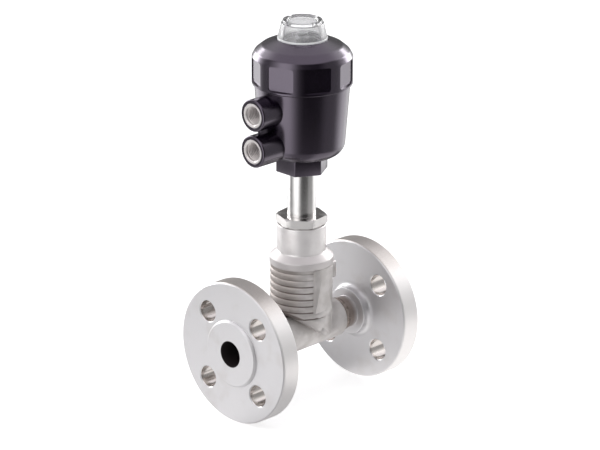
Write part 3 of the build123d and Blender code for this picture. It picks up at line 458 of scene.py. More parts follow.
@dataclass(frozen=True)
class FlangeSteel(Finish):
    """Satin machined flange: pale faces, a pale rim with painted brown shade towards its top, painted shade
    in the bolt holes, a near-black painted shade in the bore, and a straw tint by the weld.
    """

    face: Colour = (0.66, 0.65, 0.66)
    rim: Colour = (0.82, 0.80, 0.795)
    rim_edge: Pair = (46.8, 47.4)
    # Stain colour of the faces, also the painted shade laid on the top of the rim.
    stain_and_rim_shade: Colour = (0.50, 0.465, 0.44)
    rim_shade_from: Pair = (24.0, 44.0)
    rim_shade_share: float = 0.6
    rim_shade_mottle: float = 0.5
    # Painted shade: bolt-hole walls a little darker and browner than the faces.
    hole: Colour = (0.62, 0.585, 0.56)
    hole_offset: float = 22.98
    hole_edge: Pair = (7.05, 7.25)
    heat: Colour = (0.27, 0.215, 0.185)
    heat_reach: Pair = (38.0, 45.0)
    heat_radius: Pair = (11.5, 17.0)
    heat_share: float = 0.75
    heat_mottle: float = 0.25
    # Painted shade: the bore near black.
    bore: Colour = (0.022, 0.016, 0.017)
    bore_edge: Pair = (8.75, 9.05)
    metallic: float = 0.70
    hole_metallic: float = 0.25
    bore_metallic: float = -0.4
    roughness: float = 0.38
    hole_rough: float = -0.24
    bore_rough: float = 0.3
    fleck_rough: float = 0.10
    fleck_cells: float = 1.2
    stain_cells: float = 0.07
    stain_span: Pair = (0.45, 0.8)
    stain_share: float = 0.30
    lines_per_mm: float = 1.6
    line_share: float = 0.7
    relief: float = 0.004
    relief_share: float = 0.6

    def paint(self, sheet: Sheet) -> dict:
        """Inputs of the principled shader."""
        x, y, z = sheet.parts(sheet.place())
        radius = sheet.distance(y, z)
        inward = (x - STEM_X * MM).size()
        stain = sheet.grain(self.stain_cells, 4.0)
        fleck = sheet.grain(self.fleck_cells, 3.0)
        off_hole = sheet.distance(y.size() - self.hole_offset * MM, z.size() - self.hole_offset * MM)
        in_hole = 1.0 - off_hole.rise(*self.hole_edge)
        in_bore = 1.0 - radius.rise(*self.bore_edge)
        base = sheet.blend(stain.ramp(*self.stain_span) * self.stain_share, self.face, self.stain_and_rim_shade)
        # Painted shade: the rim darker and browner towards its top.
        rim_shade_mask = z.rise(*self.rim_shade_from) * (self.rim_shade_share + self.rim_shade_mottle * fleck)
        base = sheet.blend(radius.rise(*self.rim_edge), base, sheet.blend(rim_shade_mask, self.rim, self.stain_and_rim_shade))
        # Painted shade in the bolt holes.
        base = sheet.blend(in_hole, base, self.hole)
        near_weld = (1.0 - inward.rise(*self.heat_reach)) * (1.0 - radius.rise(*self.heat_radius))
        base = sheet.blend(near_weld * (self.heat_share + self.heat_mottle * fleck), base, self.heat)
        # Painted shade: the bore laid near black.
        base = sheet.blend(in_bore, base, self.bore)
        rough = self.roughness + self.fleck_rough * fleck + self.hole_rough * in_hole
        relief = sheet.waves(radius, self.lines_per_mm) * self.line_share + fleck * (1.0 - self.line_share)
        return {
            "Base Color": base, "Roughness": rough + self.bore_rough * in_bore,
            "Metallic": self.metallic + self.hole_metallic * in_hole + self.bore_metallic * in_bore,
            "Normal": sheet.bump(relief, self.relief, self.relief_share),
        }


@dataclass(frozen=True)
class WeldBead(Finish):
    """Rippled weld with a dark straw and blue-brown tint."""

    bright: Colour = (0.36, 0.31, 0.28)
    burnt: Colour = (0.20, 0.165, 0.145)
    metallic: float = 0.85
    roughness: float = 0.34
    cloud_rough: float = 0.2
    cloud_cells: float = 0.35
    cloud_span: Pair = (0.3, 0.7)
    relief: float = 0.05
    relief_share: float = 0.5

    def paint(self, sheet: Sheet) -> dict:
        """Inputs of the principled shader."""
        cloud = sheet.grain(self.cloud_cells, 4.0)
        return {
            "Base Color": sheet.blend(cloud.ramp(*self.cloud_span), self.burnt, self.bright),
            "Metallic": self.metallic, "Roughness": self.roughness + self.cloud_rough * cloud,
            "Normal": sheet.bump(cloud, self.relief, self.relief_share),
        }


@dataclass(frozen=True)
class BlackPolyamide(Finish):
    """Glass-filled black moulding: fine spark-eroded texture with faint flow streaks."""

    pigment: Colour = (0.0022, 0.0008, 0.0036)
    bloom: Colour = (0.0038, 0.0018, 0.0060)
    bloom_cells: float = 0.06
    bloom_span: Pair = (0.35, 0.75)
    roughness: float = 0.14
    texture_cells: float = 3.2
    texture_rough: float = 0.08
    streak_cells: float = 0.5
    streak_scale: Spot = (1.0, 1.0, 0.12)
    streak_rough: float = 0.05
    index: float = 1.90
    gloss_tint: Colour = (0.93, 0.81, 1.0)
    relief: float = 0.0022
    relief_share: float = 0.6

    def paint(self, sheet: Sheet) -> dict:
        """Inputs of the principled shader."""
        texture = sheet.grain(self.texture_cells)
        bloom = sheet.grain(self.bloom_cells, 3.0)
        streak = sheet.grain(self.streak_cells, 3.0, self.streak_scale)
        return {
            "Base Color": sheet.blend(bloom.ramp(*self.bloom_span), self.pigment, self.bloom),
            "Roughness": self.roughness + self.texture_rough * texture + self.streak_rough * streak,
            "Metallic": 0.0, "IOR": self.index, "Specular Tint": self.gloss_tint,
            "Normal": sheet.bump(texture, self.relief, self.relief_share),
        }


@dataclass(frozen=True)
class ClearPlastic(Finish):
    """Clear polysulphone: nearly colourless, with a faint haze and a frosted foot."""

    tint: Colour = (0.98, 0.98, 0.985)
    roughness: float = 0.04
    dull_cells: float = 1.5
    dull_rough: float = 0.06
    index: float = 1.55
    clearness: float = 0.95
    swirl_cells: float = 0.25
    relief: float = 0.02
    relief_share: float = 0.25
    haze: float = 0.13
    frost: Colour = (0.95, 0.95, 0.96)
    frost_rough: float = 0.3
    frost_share: float = 0.85
    foot_top: float = 200.3
    foot_edge: float = 0.1
    foot_inside: float = 14.6

    def paint(self, sheet: Sheet) -> dict:
        """Inputs of the clear shader."""
        swirl = sheet.grain(self.swirl_cells)
        dull = sheet.grain(self.dull_cells)
        return {
            "Base Color": self.tint, "Roughness": self.roughness + self.dull_rough * dull,
            "IOR": self.index, "Transmission Weight": self.clearness,
            "Normal": sheet.bump(swirl, self.relief, self.relief_share),
        }

    def surface(self, sheet: Sheet) -> Wire:
        """Clear shader with a frosted one laid over the foot."""
        x, y, z = sheet.parts(sheet.place())
        wide = sheet.distance(x - STEM_X * MM, y) > self.foot_inside * MM
        foot = (1.0 - z.rise(self.foot_top - self.foot_edge, self.foot_top + self.foot_edge)) * wide
        share = foot * (self.frost_share - self.haze) + self.haze
        coat = {"Base Color": self.frost, "Roughness": self.frost_rough}
        frosted = sheet.add("ShaderNodeBsdfPrincipled", {}, coat)
        return sheet.add("ShaderNodeMixShader", {}, {0: share, 1: super().surface(sheet), 2: frosted})


@dataclass(frozen=True)
class Plain(Finish):
    """Plain finish with a colour drift, a fine grain and a fine relief."""

    tint: Colour
    shade: Colour
    metallic: float
    roughness: float
    cells_per_mm: float
    relief: float
    relief_share: float = 0.5
    fine_rough: float = 0.1
    drift_cells: float = 0.15
    drift_span: Pair = (0.3, 0.75)

    def paint(self, sheet: Sheet) -> dict:
        """Inputs of the principled shader."""
        drift = sheet.grain(self.drift_cells, 3.0)
        fine = sheet.grain(self.cells_per_mm)
        return {
            "Base Color": sheet.blend(drift.ramp(*self.drift_span), self.tint, self.shade),
            "Metallic": self.metallic, "Roughness": self.roughness + self.fine_rough * fine,
            "Normal": sheet.bump(fine, self.relief, self.relief_share),
        }


CAST = CastSteel("cast_steel_skin")
TURNED = TurnedSteel("turned_steel_bright")
NECK = TurnedSteel("neck_steel", dull_below=56.2)
HEXAGON = TurnedSteel(
    "hexagon_steel", (0.74, 0.72, 0.71), (0.68, 0.66, 0.65), 0.20, 2.0, 0.002, 0.5, mirror_above=80.1
)
TUBE = TurnedSteel("polished_tube", (0.66, 0.65, 0.645), (0.60, 0.59, 0.585), 0.17, 4.0, 0.001, 1.0)
FLANGE = FlangeSteel("flange_steel")
WELD = WeldBead("weld_bead")
BLACK = BlackPolyamide("moulded_black")
CLEAR = ClearPlastic("clear_cap_plastic")
BRASS = Plain("nickel_plating", (0.84, 0.80, 0.79), (0.74, 0.70, 0.69), 0.60, 0.30, 2.0, 0.006)
ROD = Plain("polished_rod", (0.80, 0.79, 0.78), (0.70, 0.69, 0.68), 1.0, 0.10, 3.0, 0.002)
SPRING = Plain("spring_wire", (0.46, 0.455, 0.45), (0.34, 0.33, 0.32), 1.0, 0.28, 2.5, 0.01)
RUBBER = Plain("black_rubber", (0.016, 0.016, 0.017), (0.028, 0.028, 0.029), 0.0, 0.55, 2.0, 0.02)
WHITE_SEAL = Plain("white_fluoroplastic", (0.82, 0.82, 0.80), (0.74, 0.74, 0.71), 0.0, 0.36, 1.2, 0.01)
FILLED_SEAL = Plain("filled_fluoroplastic", (0.20, 0.17, 0.14), (0.12, 0.10, 0.085), 0.0, 0.40, 1.8, 0.01)
INDICATOR = Plain("indicator_plastic", (0.030, 0.029, 0.030), (0.05, 0.048, 0.05), 0.0, 0.34, 1.5, 0.01)


class Shop:
    """Tools that make and finish meshes."""

    @staticmethod
    def piece(name: str, mesh: bpy.types.Mesh, finish: Finish | None) -> bpy.types.Object:
        """Makes an object from a mesh and gives it its finish.

        Args:
            name: The piece's name.
            mesh: Its mesh, in metres and in place.
            finish: Its finish, or none for a cutter.

        Returns:
            The new object.
        """
        mesh.name = name
        made = bpy.data.objects.new(name, mesh)
        if finish:
            Shop.dress(made, finish)
        bpy.context.scene.collection.objects.link(made)
        return made

    @staticmethod
    def dress(made: bpy.types.Object, finish: Finish) -> None:
        """Gives an object one finish and no other.

        Args:
            made: The object.
            finish: Its finish.
        """
        made.data.materials.clear()
        made.data.materials.append(finish.material())

    @staticmethod
    def mesh(work: bmesh.types.BMesh, name: str) -> bpy.types.Mesh:
        """Points a drawn shape's faces outwards and makes it a mesh.

        Args:
            work: The drawn shape, which is used up.
            name: The mesh's name.

        Returns:
            The mesh.
        """
        bmesh.ops.recalc_face_normals(work, faces=work.faces)
        made = bpy.data.meshes.new(name)
        work.to_mesh(made)
        work.free()
        return made

    @staticmethod
    def smooth(mesh: bpy.types.Mesh, angle: float = 32.0) -> None:
        """Shades a mesh smooth, with edges sharper than an angle kept."""
        mesh.shade_smooth()
        mesh.set_sharp_from_angle(angle=radians(angle))

    @staticmethod
    def settle(made: bpy.types.Object) -> None:
        """Turns an object with modifiers into plain mesh.

        Args:
            made: The object, whose modifiers are used up.
        """
        graph = bpy.context.evaluated_depsgraph_get()
        graph.update()
        baked = bpy.data.meshes.new_from_object(made.evaluated_get(graph), depsgraph=graph)
        made.modifiers.clear()
        old = made.data
        made.data = baked
        bpy.data.meshes.remove(old)
        baked.name = made.name

    @classmethod
    def join(cls, made: bpy.types.Object, tool: bpy.types.Object, how: Cut) -> bpy.types.Object:
        """Joins a solid with another and deletes the other.

        Args:
            made: The solid that stays.
            tool: The solid that is used up.
            how: The way in which they are joined.

        Returns:
            The joined solid.
        """
        step = made.modifiers.new("join", "BOOLEAN")
        step.solver = "EXACT"
        step.operation = how.value
        step.object = tool
        cls.settle(made)
        bpy.data.objects.remove(tool)
        return made

    @classmethod
    def bevel(cls, made: bpy.types.Object, width: float, angle: float = 40.0, segments: int = 2) -> None:
        """Rounds the sharp edges of a solid.

        Args:
            made: The solid.
            width: Width of the rounding in millimetres.
            angle: Edges sharper than this are rounded.
            segments: Steps across the rounding.
        """
        step = made.modifiers.new("bevel", "BEVEL")
        step.width = width * MM
        step.segments = segments
        step.limit_method = "ANGLE"
        step.angle_limit = radians(angle)
        cls.settle(made)

    @staticmethod
    def mend(mesh: bpy.types.Mesh, gap: float = 1e-6) -> None:
        """Merges doubles and points the faces outwards.

        Args:
            mesh: The mesh.
            gap: Distance below which points are one.
        """
        work = bmesh.new()
        work.from_mesh(mesh)
        bmesh.ops.remove_doubles(work, verts=work.verts, dist=gap)
        bmesh.ops.recalc_face_normals(work, faces=work.faces)
        work.to_mesh(mesh)
        work.free()


@dataclass(frozen=True)
class Corner:
    """Corner of a turned profile, with its rounding."""

    radius: float
    height: float
    round: float = 0.0


@dataclass
class Lathe:
    """Solid turned from a profile about the axis of the stem, the pipe or a port."""

    corners: Sequence[Corner]
    along: Along = Along.UP
    place: Spot = (STEM_X, 0.0, 0.0)
    segments: int = 160
    steps: int = 5
    strip: float = 0.06
    edge_share: float = 0.99
    on_axis: float = 1e-9

    def rounded(self, before: Corner, here: Corner, after: Corner) -> list[Point]:
        """Points of one corner's arc, with a thin flat strip on each side.

        Args:
            before: The corner before.
            here: The corner itself.
            after: The corner after.

        Returns:
            Points in radius and height.
        """
        if here.round <= 0:
            return [(here.radius, here.height)]
        a = (before.radius - here.radius, before.height - here.height)
        b = (after.radius - here.radius, after.height - here.height)
        length_a, length_b = hypot(*a), hypot(*b)
        a = (a[0] / length_a, a[1] / length_a)
        b = (b[0] / length_b, b[1] / length_b)
        half = acos(max(-1.0, min(1.0, a[0] * b[0] + a[1] * b[1]))) / 2
        reach = here.round / tan(half)
        middle = (a[0] + b[0], a[1] + b[1])
        length = hypot(*middle)
        to_centre = here.round / sin(half) / length
        centre = (here.radius + middle[0] * to_centre, here.height + middle[1] * to_centre)
        start = (here.radius + a[0] * reach, here.height + a[1] * reach)
        end = (here.radius + b[0] * reach, here.height + b[1] * reach)
        first = atan2(start[1] - centre[1], start[0] - centre[0])
        sweep = atan2(end[1] - centre[1], end[0] - centre[0]) - first
        sweep = (sweep + pi) % (2 * pi) - pi
        arc = []
        for index in range(self.steps + 1):
            angle = first + sweep * index / self.steps
            arc.append((centre[0] + here.round * cos(angle), centre[1] + here.round * sin(angle)))
        lead = (start[0] + a[0] * self.strip, start[1] + a[1] * self.strip)
        trail = (end[0] + b[0] * self.strip, end[1] + b[1] * self.strip)
        if reach + self.strip > min(length_a, length_b) * self.edge_share:
            return arc
        return [lead, *arc, trail]

    def outline(self) -> list[Point]:
        """All points of the profile, with its corners rounded."""
        points: list[Point] = []
        count = len(self.corners)
        for index, here in enumerate(self.corners):
            before = self.corners[index - 1]
            after = self.corners[(index + 1) % count]
            points += self.rounded(before, here, after)
        return points

    def mesh(self) -> bpy.types.Mesh:
        """Turns the profile into a closed mesh."""
        turn = Matrix.Translation(Vector(self.place) * MM) @ self.along.turn()
        work = bmesh.new()
        rings: list[list[bmesh.types.BMVert]] = []
        for radius, height in self.outline():
            ring = []
            for index in range(1 if radius < self.on_axis else self.segments):
                angle = 2 * pi * index / self.segments
                spot = Vector((radius * cos(angle), radius * sin(angle), height)) * MM
                ring.append(work.verts.new(turn @ spot))
            rings.append(ring)
        for index, ring in enumerate(rings):
            after = rings[(index + 1) % len(rings)]
            if len(ring) == 1 and len(after) == 1:
                continue
            for step in range(self.segments):
                ahead = (step + 1) % self.segments
                here = [ring[0]] if len(ring) == 1 else [ring[step], ring[ahead]]
                there = [after[0]] if len(after) == 1 else [after[ahead], after[step]]
                work.faces.new(here + there)
        return Shop.mesh(work, "turned")

    def solid(self, name: str, finish: Finish | None = None) -> bpy.types.Object:
        """Turned solid as an object with smooth shading."""
        made = Shop.piece(name, self.mesh(), finish)
        Shop.smooth(made.data)
        return made


def corners(*spots: tuple[float, ...]) -> list[Corner]:
    """Corners from their radius, height and, where given, rounding."""
    return [Corner(*spot) for spot in spots]


class Prism:
    """Solids with flat sides."""

    @staticmethod
    def make(name: str, outline: Sequence[Point], low: float, high: float, turn: Matrix) -> bpy.types.Object:
        """Closed prism over an outline.

        Args:
            name: The object's name.
            outline: Corners in the plane across the prism's axis, in millimetres.
            low: Its lower end.
            high: Its upper end.
            turn: Where the prism goes.

        Returns:
            The prism, with no finish.
        """
        work = bmesh.new()
        ends = []
        for height in (low, high):
            ends.append([work.verts.new(turn @ (Vector((x, y, height)) * MM)) for x, y in outline])
        work.faces.new(list(reversed(ends[0])))
        work.faces.new(ends[1])
        for index in range(len(outline)):
            ahead = (index + 1) % len(outline)
            work.faces.new([ends[0][index], ends[0][ahead], ends[1][ahead], ends[1][index]])
        return Shop.piece(name, Shop.mesh(work, name), None)

    @classmethod
    def hexagon(cls, name: str, across: float, low: float, high: float, turn: float) -> bpy.types.Object:
        """Hexagonal prism about the stem axis; turn is its first corner's plan angle."""
        corner = cls.hexagon_corner(across)
        angles = [radians(turn + 60 * index) for index in range(6)]
        outline = [(corner * cos(angle), corner * sin(angle)) for angle in angles]
        return cls.make(name, outline, low, high, AT_STEM)

    @staticmethod
    def hexagon_corner(across: float) -> float:
        """Distance from a hexagon's middle to its corners."""
        return across / 2 / cos(radians(30))

    @classmethod
    def box(cls, name: str, low: Sequence[float], high: Sequence[float]) -> bpy.types.Object:
        """Box between two corners."""
        outline = [(low[0], low[1]), (high[0], low[1]), (high[0], high[1]), (low[0], high[1])]
        return cls.make(name, outline, low[2], high[2], Matrix.Identity(4))


class Repeater:
    """Geometry Nodes trees for what repeats or follows a path."""

    def __init__(self, name: str, inputs: Sequence[tuple[str, str, float]]) -> None:
        """Starts a tree with named inputs.

        Args:
            name: The tree's name.
            inputs: Name, socket type and starting value of each size.
        """
        self.tree = bpy.data.node_groups.new(name, "GeometryNodeTree")
        face = self.tree.interface
        face.new_socket("Geometry", in_out="INPUT", socket_type="NodeSocketGeometry")
        self.sockets = {}
        for label, kind, value in inputs:
            socket = face.new_socket(label, in_out="INPUT", socket_type=kind)
            socket.default_value = value
            self.sockets[label] = socket.identifier
        face.new_socket("Geometry", in_out="OUTPUT", socket_type="NodeSocketGeometry")
        self.source = self.tree.nodes.new("NodeGroupInput")

    def node(self, kind: str, settings: dict, inputs: dict) -> bpy.types.Node:
        """Adds a node; a string input names one of the tree's own inputs.

        Args:
            kind: The node's type name.
            settings: Its properties, set first.
            inputs: Values, output sockets or names of the tree's inputs.

        Returns:
            The node.
        """
        made = self.tree.nodes.new(kind)
        for name, value in settings.items():
            setattr(made, name, value)
        for key, value in inputs.items():
            if isinstance(value, bpy.types.NodeSocket):
                self.tree.links.new(value, made.inputs[key])
            elif isinstance(value, str):
                self.tree.links.new(self.source.outputs[value], made.inputs[key])
            else:
                made.inputs[key].default_value = value
        return made

    def finish(self, geometry: bpy.types.NodeSocket, finish: Finish) -> None:
        """Ends the tree in real geometry with its finish.

        Args:
            geometry: What the tree has made.
            finish: The finish to give it.
        """
        real = self.node("GeometryNodeRealizeInstances", {}, {0: geometry})
        dressed = self.node("GeometryNodeSetMaterial", {}, {0: real.outputs[0]})
        dressed.inputs["Material"].default_value = finish.material()
        self.node("NodeGroupOutput", {}, {0: dressed.outputs[0]})

    def use(self, made: bpy.types.Object, sizes: dict[str, float]) -> None:
        """Runs the tree on an object and keeps the result as plain mesh.

        Args:
            made: The object that the tree starts from.
            sizes: Values of the tree's inputs by name.
        """
        step = made.modifiers.new("repeat", "NODES")
        step.node_group = self.tree
        for label, value in sizes.items():
            step[self.sockets[label]] = value
        Shop.settle(made)

    def spread(
        self, points: bpy.types.NodeSocket, shape: bpy.types.NodeSocket | str, first: float | str,
        finish: Finish,
    ) -> None:
        """Ends the tree in copies on points, each turned on by an even step round the axis.

        Args:
            points: The points, as many as the Count input says.
            shape: What is copied.
            first: Angle of the first copy, or the input that holds it.
            finish: Finish of the copies.
        """
        index = self.node("GeometryNodeInputIndex", {}, {})
        step = self.node("ShaderNodeMath", {"operation": "DIVIDE"}, {0: 2 * pi, 1: "Count"})
        turned = {0: index.outputs[0], 1: step.outputs[0], 2: first}
        angle = self.node("ShaderNodeMath", {"operation": "MULTIPLY_ADD"}, turned)
        turn = self.node("ShaderNodeCombineXYZ", {}, {"Z": angle.outputs[0]})
        placed = {"Points": points, "Instance": shape, "Rotation": turn.outputs[0]}
        copies = self.node("GeometryNodeInstanceOnPoints", {}, placed)
        self.finish(copies.outputs[0], finish)

    @staticmethod
    def round_axis(name: str, finish: Finish) -> "Repeater":
        """Tree that sets copies of its own geometry in a circle about the stem or pipe axis.

        Args:
            name: The tree's name.
            finish: Finish of the copies.

        Returns:
            The tree, with Count and First Angle inputs.
        """
        made = Repeater(name, (("Count", "NodeSocketInt", 4), ("First Angle", "NodeSocketFloat", 0.0)))
        offset = {"Count": "Count", "Offset": (0.0, 0.0, 0.0)}
        line = made.node("GeometryNodeMeshLine", {"mode": "OFFSET"}, offset)
        made.spread(line.outputs[0], "Geometry", "First Angle", finish)
        return made


class Ledger:
    """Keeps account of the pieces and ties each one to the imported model."""

    def __init__(self) -> None:
        """Starts with no pieces."""
        self.pieces: list[bpy.types.Object] = []

    def enter(self, made: bpy.types.Object, body: Body, node: str) -> None:
        """Ties a finished piece to its body and hides the node that it stands for.

        Args:
            made: The piece.
            body: The body that it rides on.
            node: The node that it stands for.
        """
        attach(made, body.value)
        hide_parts(node)
        self.pieces.append(made)
        LOG.info("%s: %d faces on %s", made.name, len(made.data.polygons), body.value)


@dataclass
class Flange:
    """Weld-neck flange with chamfered bolt holes, a hub and a weld bead at its neck."""

    side: str
    at: Along
    outer: float = 95.0
    thickness: float = 16.0
    edge: float = 1.0
    edge_break: float = 0.25
    raised: float = 45.0
    raised_height: float = 2.0
    raised_foot: float = 0.3
    face_bevel: float = 1.3
    face_breaks: Pair = (0.6, 0.5)
    bore: float = 17.3
    bore_break: float = 0.5
    pipe: float = 21.3
    pipe_fillet: float = 0.4
    hub: float = 32.0
    hub_length: float = 6.0
    hub_root: float = 3.5
    hub_break: float = 0.5
    neck_end: float = 32.5
    half_length: float = STEM_X
    circle: float = 65.0
    bolts: int = 4
    first_bolt: float = 45.0
    hole: float = 14.0
    hole_edge: float = 0.7
    weld_width: float = 3.6
    weld_height: float = 0.8
    weld_lift: float = 0.05
    ripples: int = 60
    ripple_half: float = 1.05
    ripple_segments: int = 14
    ripple_rings: int = 8

    def from_face(self, inward: float) -> float:
        """Place along the pipe of what lies some way inward of this flange's outer face."""
        return inward if self.at is Along.FLOW else 2 * self.half_length - inward

    def blank(self) -> bpy.types.Object:
        """Turned blank of the flange."""
        end = self.half_length - self.neck_end
        bore, raised, outer = self.bore / 2, self.raised / 2, self.outer / 2
        hub, pipe = self.hub / 2, self.pipe / 2
        hub_end = self.thickness + self.hub_length
        inner_break, outer_break = self.face_breaks
        profile = corners(
            (bore, 0, self.bore_break), (raised - self.face_bevel, 0, inner_break),
            (raised, self.face_bevel, outer_break), (raised, self.raised_height, self.raised_foot),
            (outer - self.edge, self.raised_height, self.edge_break),
            (outer, self.raised_height + self.edge, self.edge_break),
            (outer, self.thickness - self.edge, self.edge_break),
            (outer - self.edge, self.thickness, self.edge_break), (hub, self.thickness, self.hub_root),
            (hub, hub_end, self.hub_break), (pipe, hub_end, self.pipe_fillet), (pipe, end), (bore, end),
        )
        lathe = Lathe(profile, self.at, (self.from_face(0.0), 0.0, 0.0), segments=288)
        return lathe.solid(f"flange_{self.side}", FLANGE)

    def hole_cutters(self) -> bpy.types.Object:
        """One chamfered hole cutter per bolt, set round the pipe axis."""
        low, high, hole = self.raised_height, self.thickness, self.hole / 2
        lead = 2 * LEAD
        flare = hole + self.hole_edge
        profile = corners(
            (0, low - lead), (flare + lead, low - lead), (hole, low + self.hole_edge),
            (hole, high - self.hole_edge), (flare + lead, high + lead), (0, high + lead),
        )
        drill = Lathe(profile, place=(self.circle / 2, 0.0, 0.0), segments=72)
        cutter = drill.solid("bolt_hole_cutter")
        circle = Repeater.round_axis("bolt_hole_circle", FLANGE)
        circle.use(cutter, {"Count": self.bolts, "First Angle": radians(self.first_bolt)})
        face = Matrix.Translation((self.from_face(0.0) * MM, 0, 0))
        cutter.data.transform(face @ self.at.turn())
        return cutter

    def weld(self) -> bpy.types.Object:
        """Bead of overlapping ripples round the pipe where the neck meets the body."""
        tree = Repeater("weld_ripples", (("Count", "NodeSocketInt", 60), ("Radius", "NodeSocketFloat", 0.01)))
        ring = tree.node("GeometryNodeMeshCircle", {}, {"Vertices": "Count", "Radius": "Radius"})
        fineness = {"Segments": self.ripple_segments, "Rings": self.ripple_rings, "Radius": 1.0}
        drop = tree.node("GeometryNodeMeshUVSphere", {}, fineness)
        half_sizes = (self.weld_height * MM, self.ripple_half * MM, self.weld_width / 2 * MM)
        size = tree.node("GeometryNodeTransform", {}, {"Geometry": drop.outputs[0], "Scale": half_sizes})
        tree.spread(ring.outputs[0], size.outputs[0], 0.0, WELD)
        bead = Shop.piece(f"weld_{self.side}", bpy.data.meshes.new("weld"), WELD)
        tree.use(bead, {"Count": self.ripples, "Radius": (self.pipe / 2 + self.weld_lift) * MM})
        middle = self.from_face(self.half_length - self.neck_end - self.weld_width / 2)
        bead.data.transform(Matrix.Translation((middle * MM, 0, 0)) @ Along.FLOW.turn())
        Shop.smooth(bead.data, angle=60)
        return bead

    def build(self, ledger: Ledger) -> None:
        """Makes the flange and its weld.

        Args:
            ledger: Where the pieces are entered.
        """
        body = Shop.join(self.blank(), self.hole_cutters(), Cut.DIFFERENCE)
        Shop.smooth(body.data)
        for made in (body, self.weld()):
            ledger.enter(made, Body.VALVE, f"{self.side}_flange")


@dataclass
class GlobeBody:
    """Cast body: the casting with its grooves, and its collar and neck turned bright."""

    cut: float = 47.3
    cutter: float = 60.0
    column: float = 41.0
    collar_proud: float = 0.4
    collar_height: float = 4.5
    collar_edge: float = 1.2
    collar_break: float = 0.15
    overlap: float = 0.3
    lip: float = 0.1
    column_top: float = 52.0
    shoulder: float = 4.0
    shoulder_fillet: float = 1.5
    neck: float = 32.0
    neck_top: float = 74.0
    neck_breaks: Pair = (0.3, 0.5)
    throat: float = 20.8
    seal_seat: float = 24.7
    collar_seat: float = 58.0
    thread: float = 26.1
    cast_edge: float = 28.0

    def casting(self) -> bpy.types.Object:
        """Copy of the casting below the collar, with its points merged and its edges shaded."""
        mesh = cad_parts["globe_body"].data.copy()
        Shop.mend(mesh)
        body = Shop.piece("cast_body", mesh, CAST)
        high = self.cut + self.cutter
        above = Prism.box("above", (0, -self.cutter, self.cut), (2 * STEM_X, self.cutter, high))
        Shop.join(body, above, Cut.DIFFERENCE)
        Shop.dress(body, CAST)
        Shop.smooth(body.data, self.cast_edge)
        return body

    def collar(self) -> bpy.types.Object:
        """Turned collar, shoulder cone and neck with its bores."""
        low = self.column_top - self.collar_height
        proud = self.column / 2 + self.collar_proud
        thread, seal_seat, throat = self.thread / 2, self.seal_seat / 2, self.throat / 2
        inner_break, outer_break = self.neck_breaks
        profile = corners(
            (thread, self.neck_top, inner_break), (thread, self.collar_seat),
            (seal_seat, self.collar_seat), (seal_seat, self.column_top),
            (throat, self.column_top), (throat, low - self.overlap),
            (self.column / 2, low - self.overlap), (proud, low + self.lip, self.collar_break),
            (proud, self.column_top, self.collar_edge),
            (self.neck / 2, self.column_top + self.shoulder, self.shoulder_fillet),
            (self.neck / 2, self.neck_top, outer_break),
        )
        return Lathe(profile, segments=224).solid("body_neck", NECK)

    def build(self, ledger: Ledger) -> None:
        """Makes the casting and its turned neck.

        Args:
            ledger: Where the pieces are entered.
        """
        for made in (self.casting(), self.collar()):
            ledger.enter(made, Body.VALVE, "globe_body")


@dataclass
class Bonnet:
    """Threaded nipple with its hexagon, and the polished spindle tube."""

    across: float = 29.5
    hex_turn: float = 189.4
    hex_low: float = 74.7
    hex_high: float = 80.2
    bevel: float = 0.8
    bevel_angle: float = 30.0
    edge_break: float = 0.14
    step: float = 28.0
    thread: float = 26.0
    thread_low: float = GlobeBody.collar_seat
    neck_top: float = GlobeBody.neck_top
    overlap: float = 0.5
    bore_gap: float = 0.05
    bore_bevel: float = 0.3
    tube: float = 18.6
    tube_bore: float = 14.6
    tube_low: float = 48.0
    tube_floor: float = 50.0
    tube_top: float = 131.0
    tube_break: float = 0.5
    tube_foot: float = 20.7
    tube_collar: float = 24.6
    tube_collar_low: float = 54.0
    spindle_hole: float = 8.8

    def nipple(self) -> bpy.types.Object:
        """Hexagon nipple, its corners turned off in a cone."""
        corner = Prism.hexagon_corner(self.across)
        touch = corner - self.bevel / tan(radians(self.bevel_angle))
        cone = corners(
            (0, self.hex_low), (touch, self.hex_low), (corner, self.hex_low + self.bevel),
            (corner, self.hex_high - self.bevel), (touch, self.hex_high), (0, self.hex_high),
        )
        thread, step, root = self.thread / 2, self.step / 2, self.hex_low + self.overlap
        shank = corners(
            (0, self.thread_low), (thread, self.thread_low), (thread, self.neck_top),
            (step, self.neck_top), (step, root), (0, root),
        )
        bore, below, beyond = self.tube / 2 + self.bore_gap, self.thread_low - 2 * LEAD, self.hex_high + LEAD
        hole = corners(
            (0, below), (bore, below), (bore, self.hex_high - self.bore_bevel),
            (bore + self.bore_bevel + LEAD, beyond), (0, beyond),
        )
        head = Prism.hexagon("bonnet_nipple", self.across, self.hex_low - LEAD, beyond, self.hex_turn)
        for profile, how in ((cone, Cut.INTERSECT), (shank, Cut.UNION), (hole, Cut.DIFFERENCE)):
            Shop.join(head, Lathe(profile, segments=192).solid("nipple_tool"), how)
        Shop.dress(head, HEXAGON)
        Shop.bevel(head, self.edge_break)
        Shop.smooth(head.data)
        return head

    def spindle_tube(self) -> bpy.types.Object:
        """Polished tube from the clamped collar up into the actuator."""
        outer, inner, hole = self.tube / 2, self.tube_bore / 2, self.spindle_hole / 2
        foot, collar = self.tube_foot / 2, self.tube_collar / 2
        profile = corners(
            (hole, self.tube_low), (foot, self.tube_low), (foot, self.tube_collar_low),
            (collar, self.tube_collar_low), (collar, self.thread_low), (outer, self.thread_low),
            (outer, self.tube_top, self.tube_break), (inner, self.tube_top),
            (inner, self.tube_floor), (hole, self.tube_floor),
        )
        return Lathe(profile, segments=192).solid("spindle_tube_polished", TUBE)

    def build(self, ledger: Ledger) -> None:
        """Makes the nipple and the tube.

        Args:
            ledger: Where the pieces are entered.
        """
        ledger.enter(self.nipple(), Body.VALVE, "bonnet_nipple")
        ledger.enter(self.spindle_tube(), Body.VALVE, "spindle_tube")


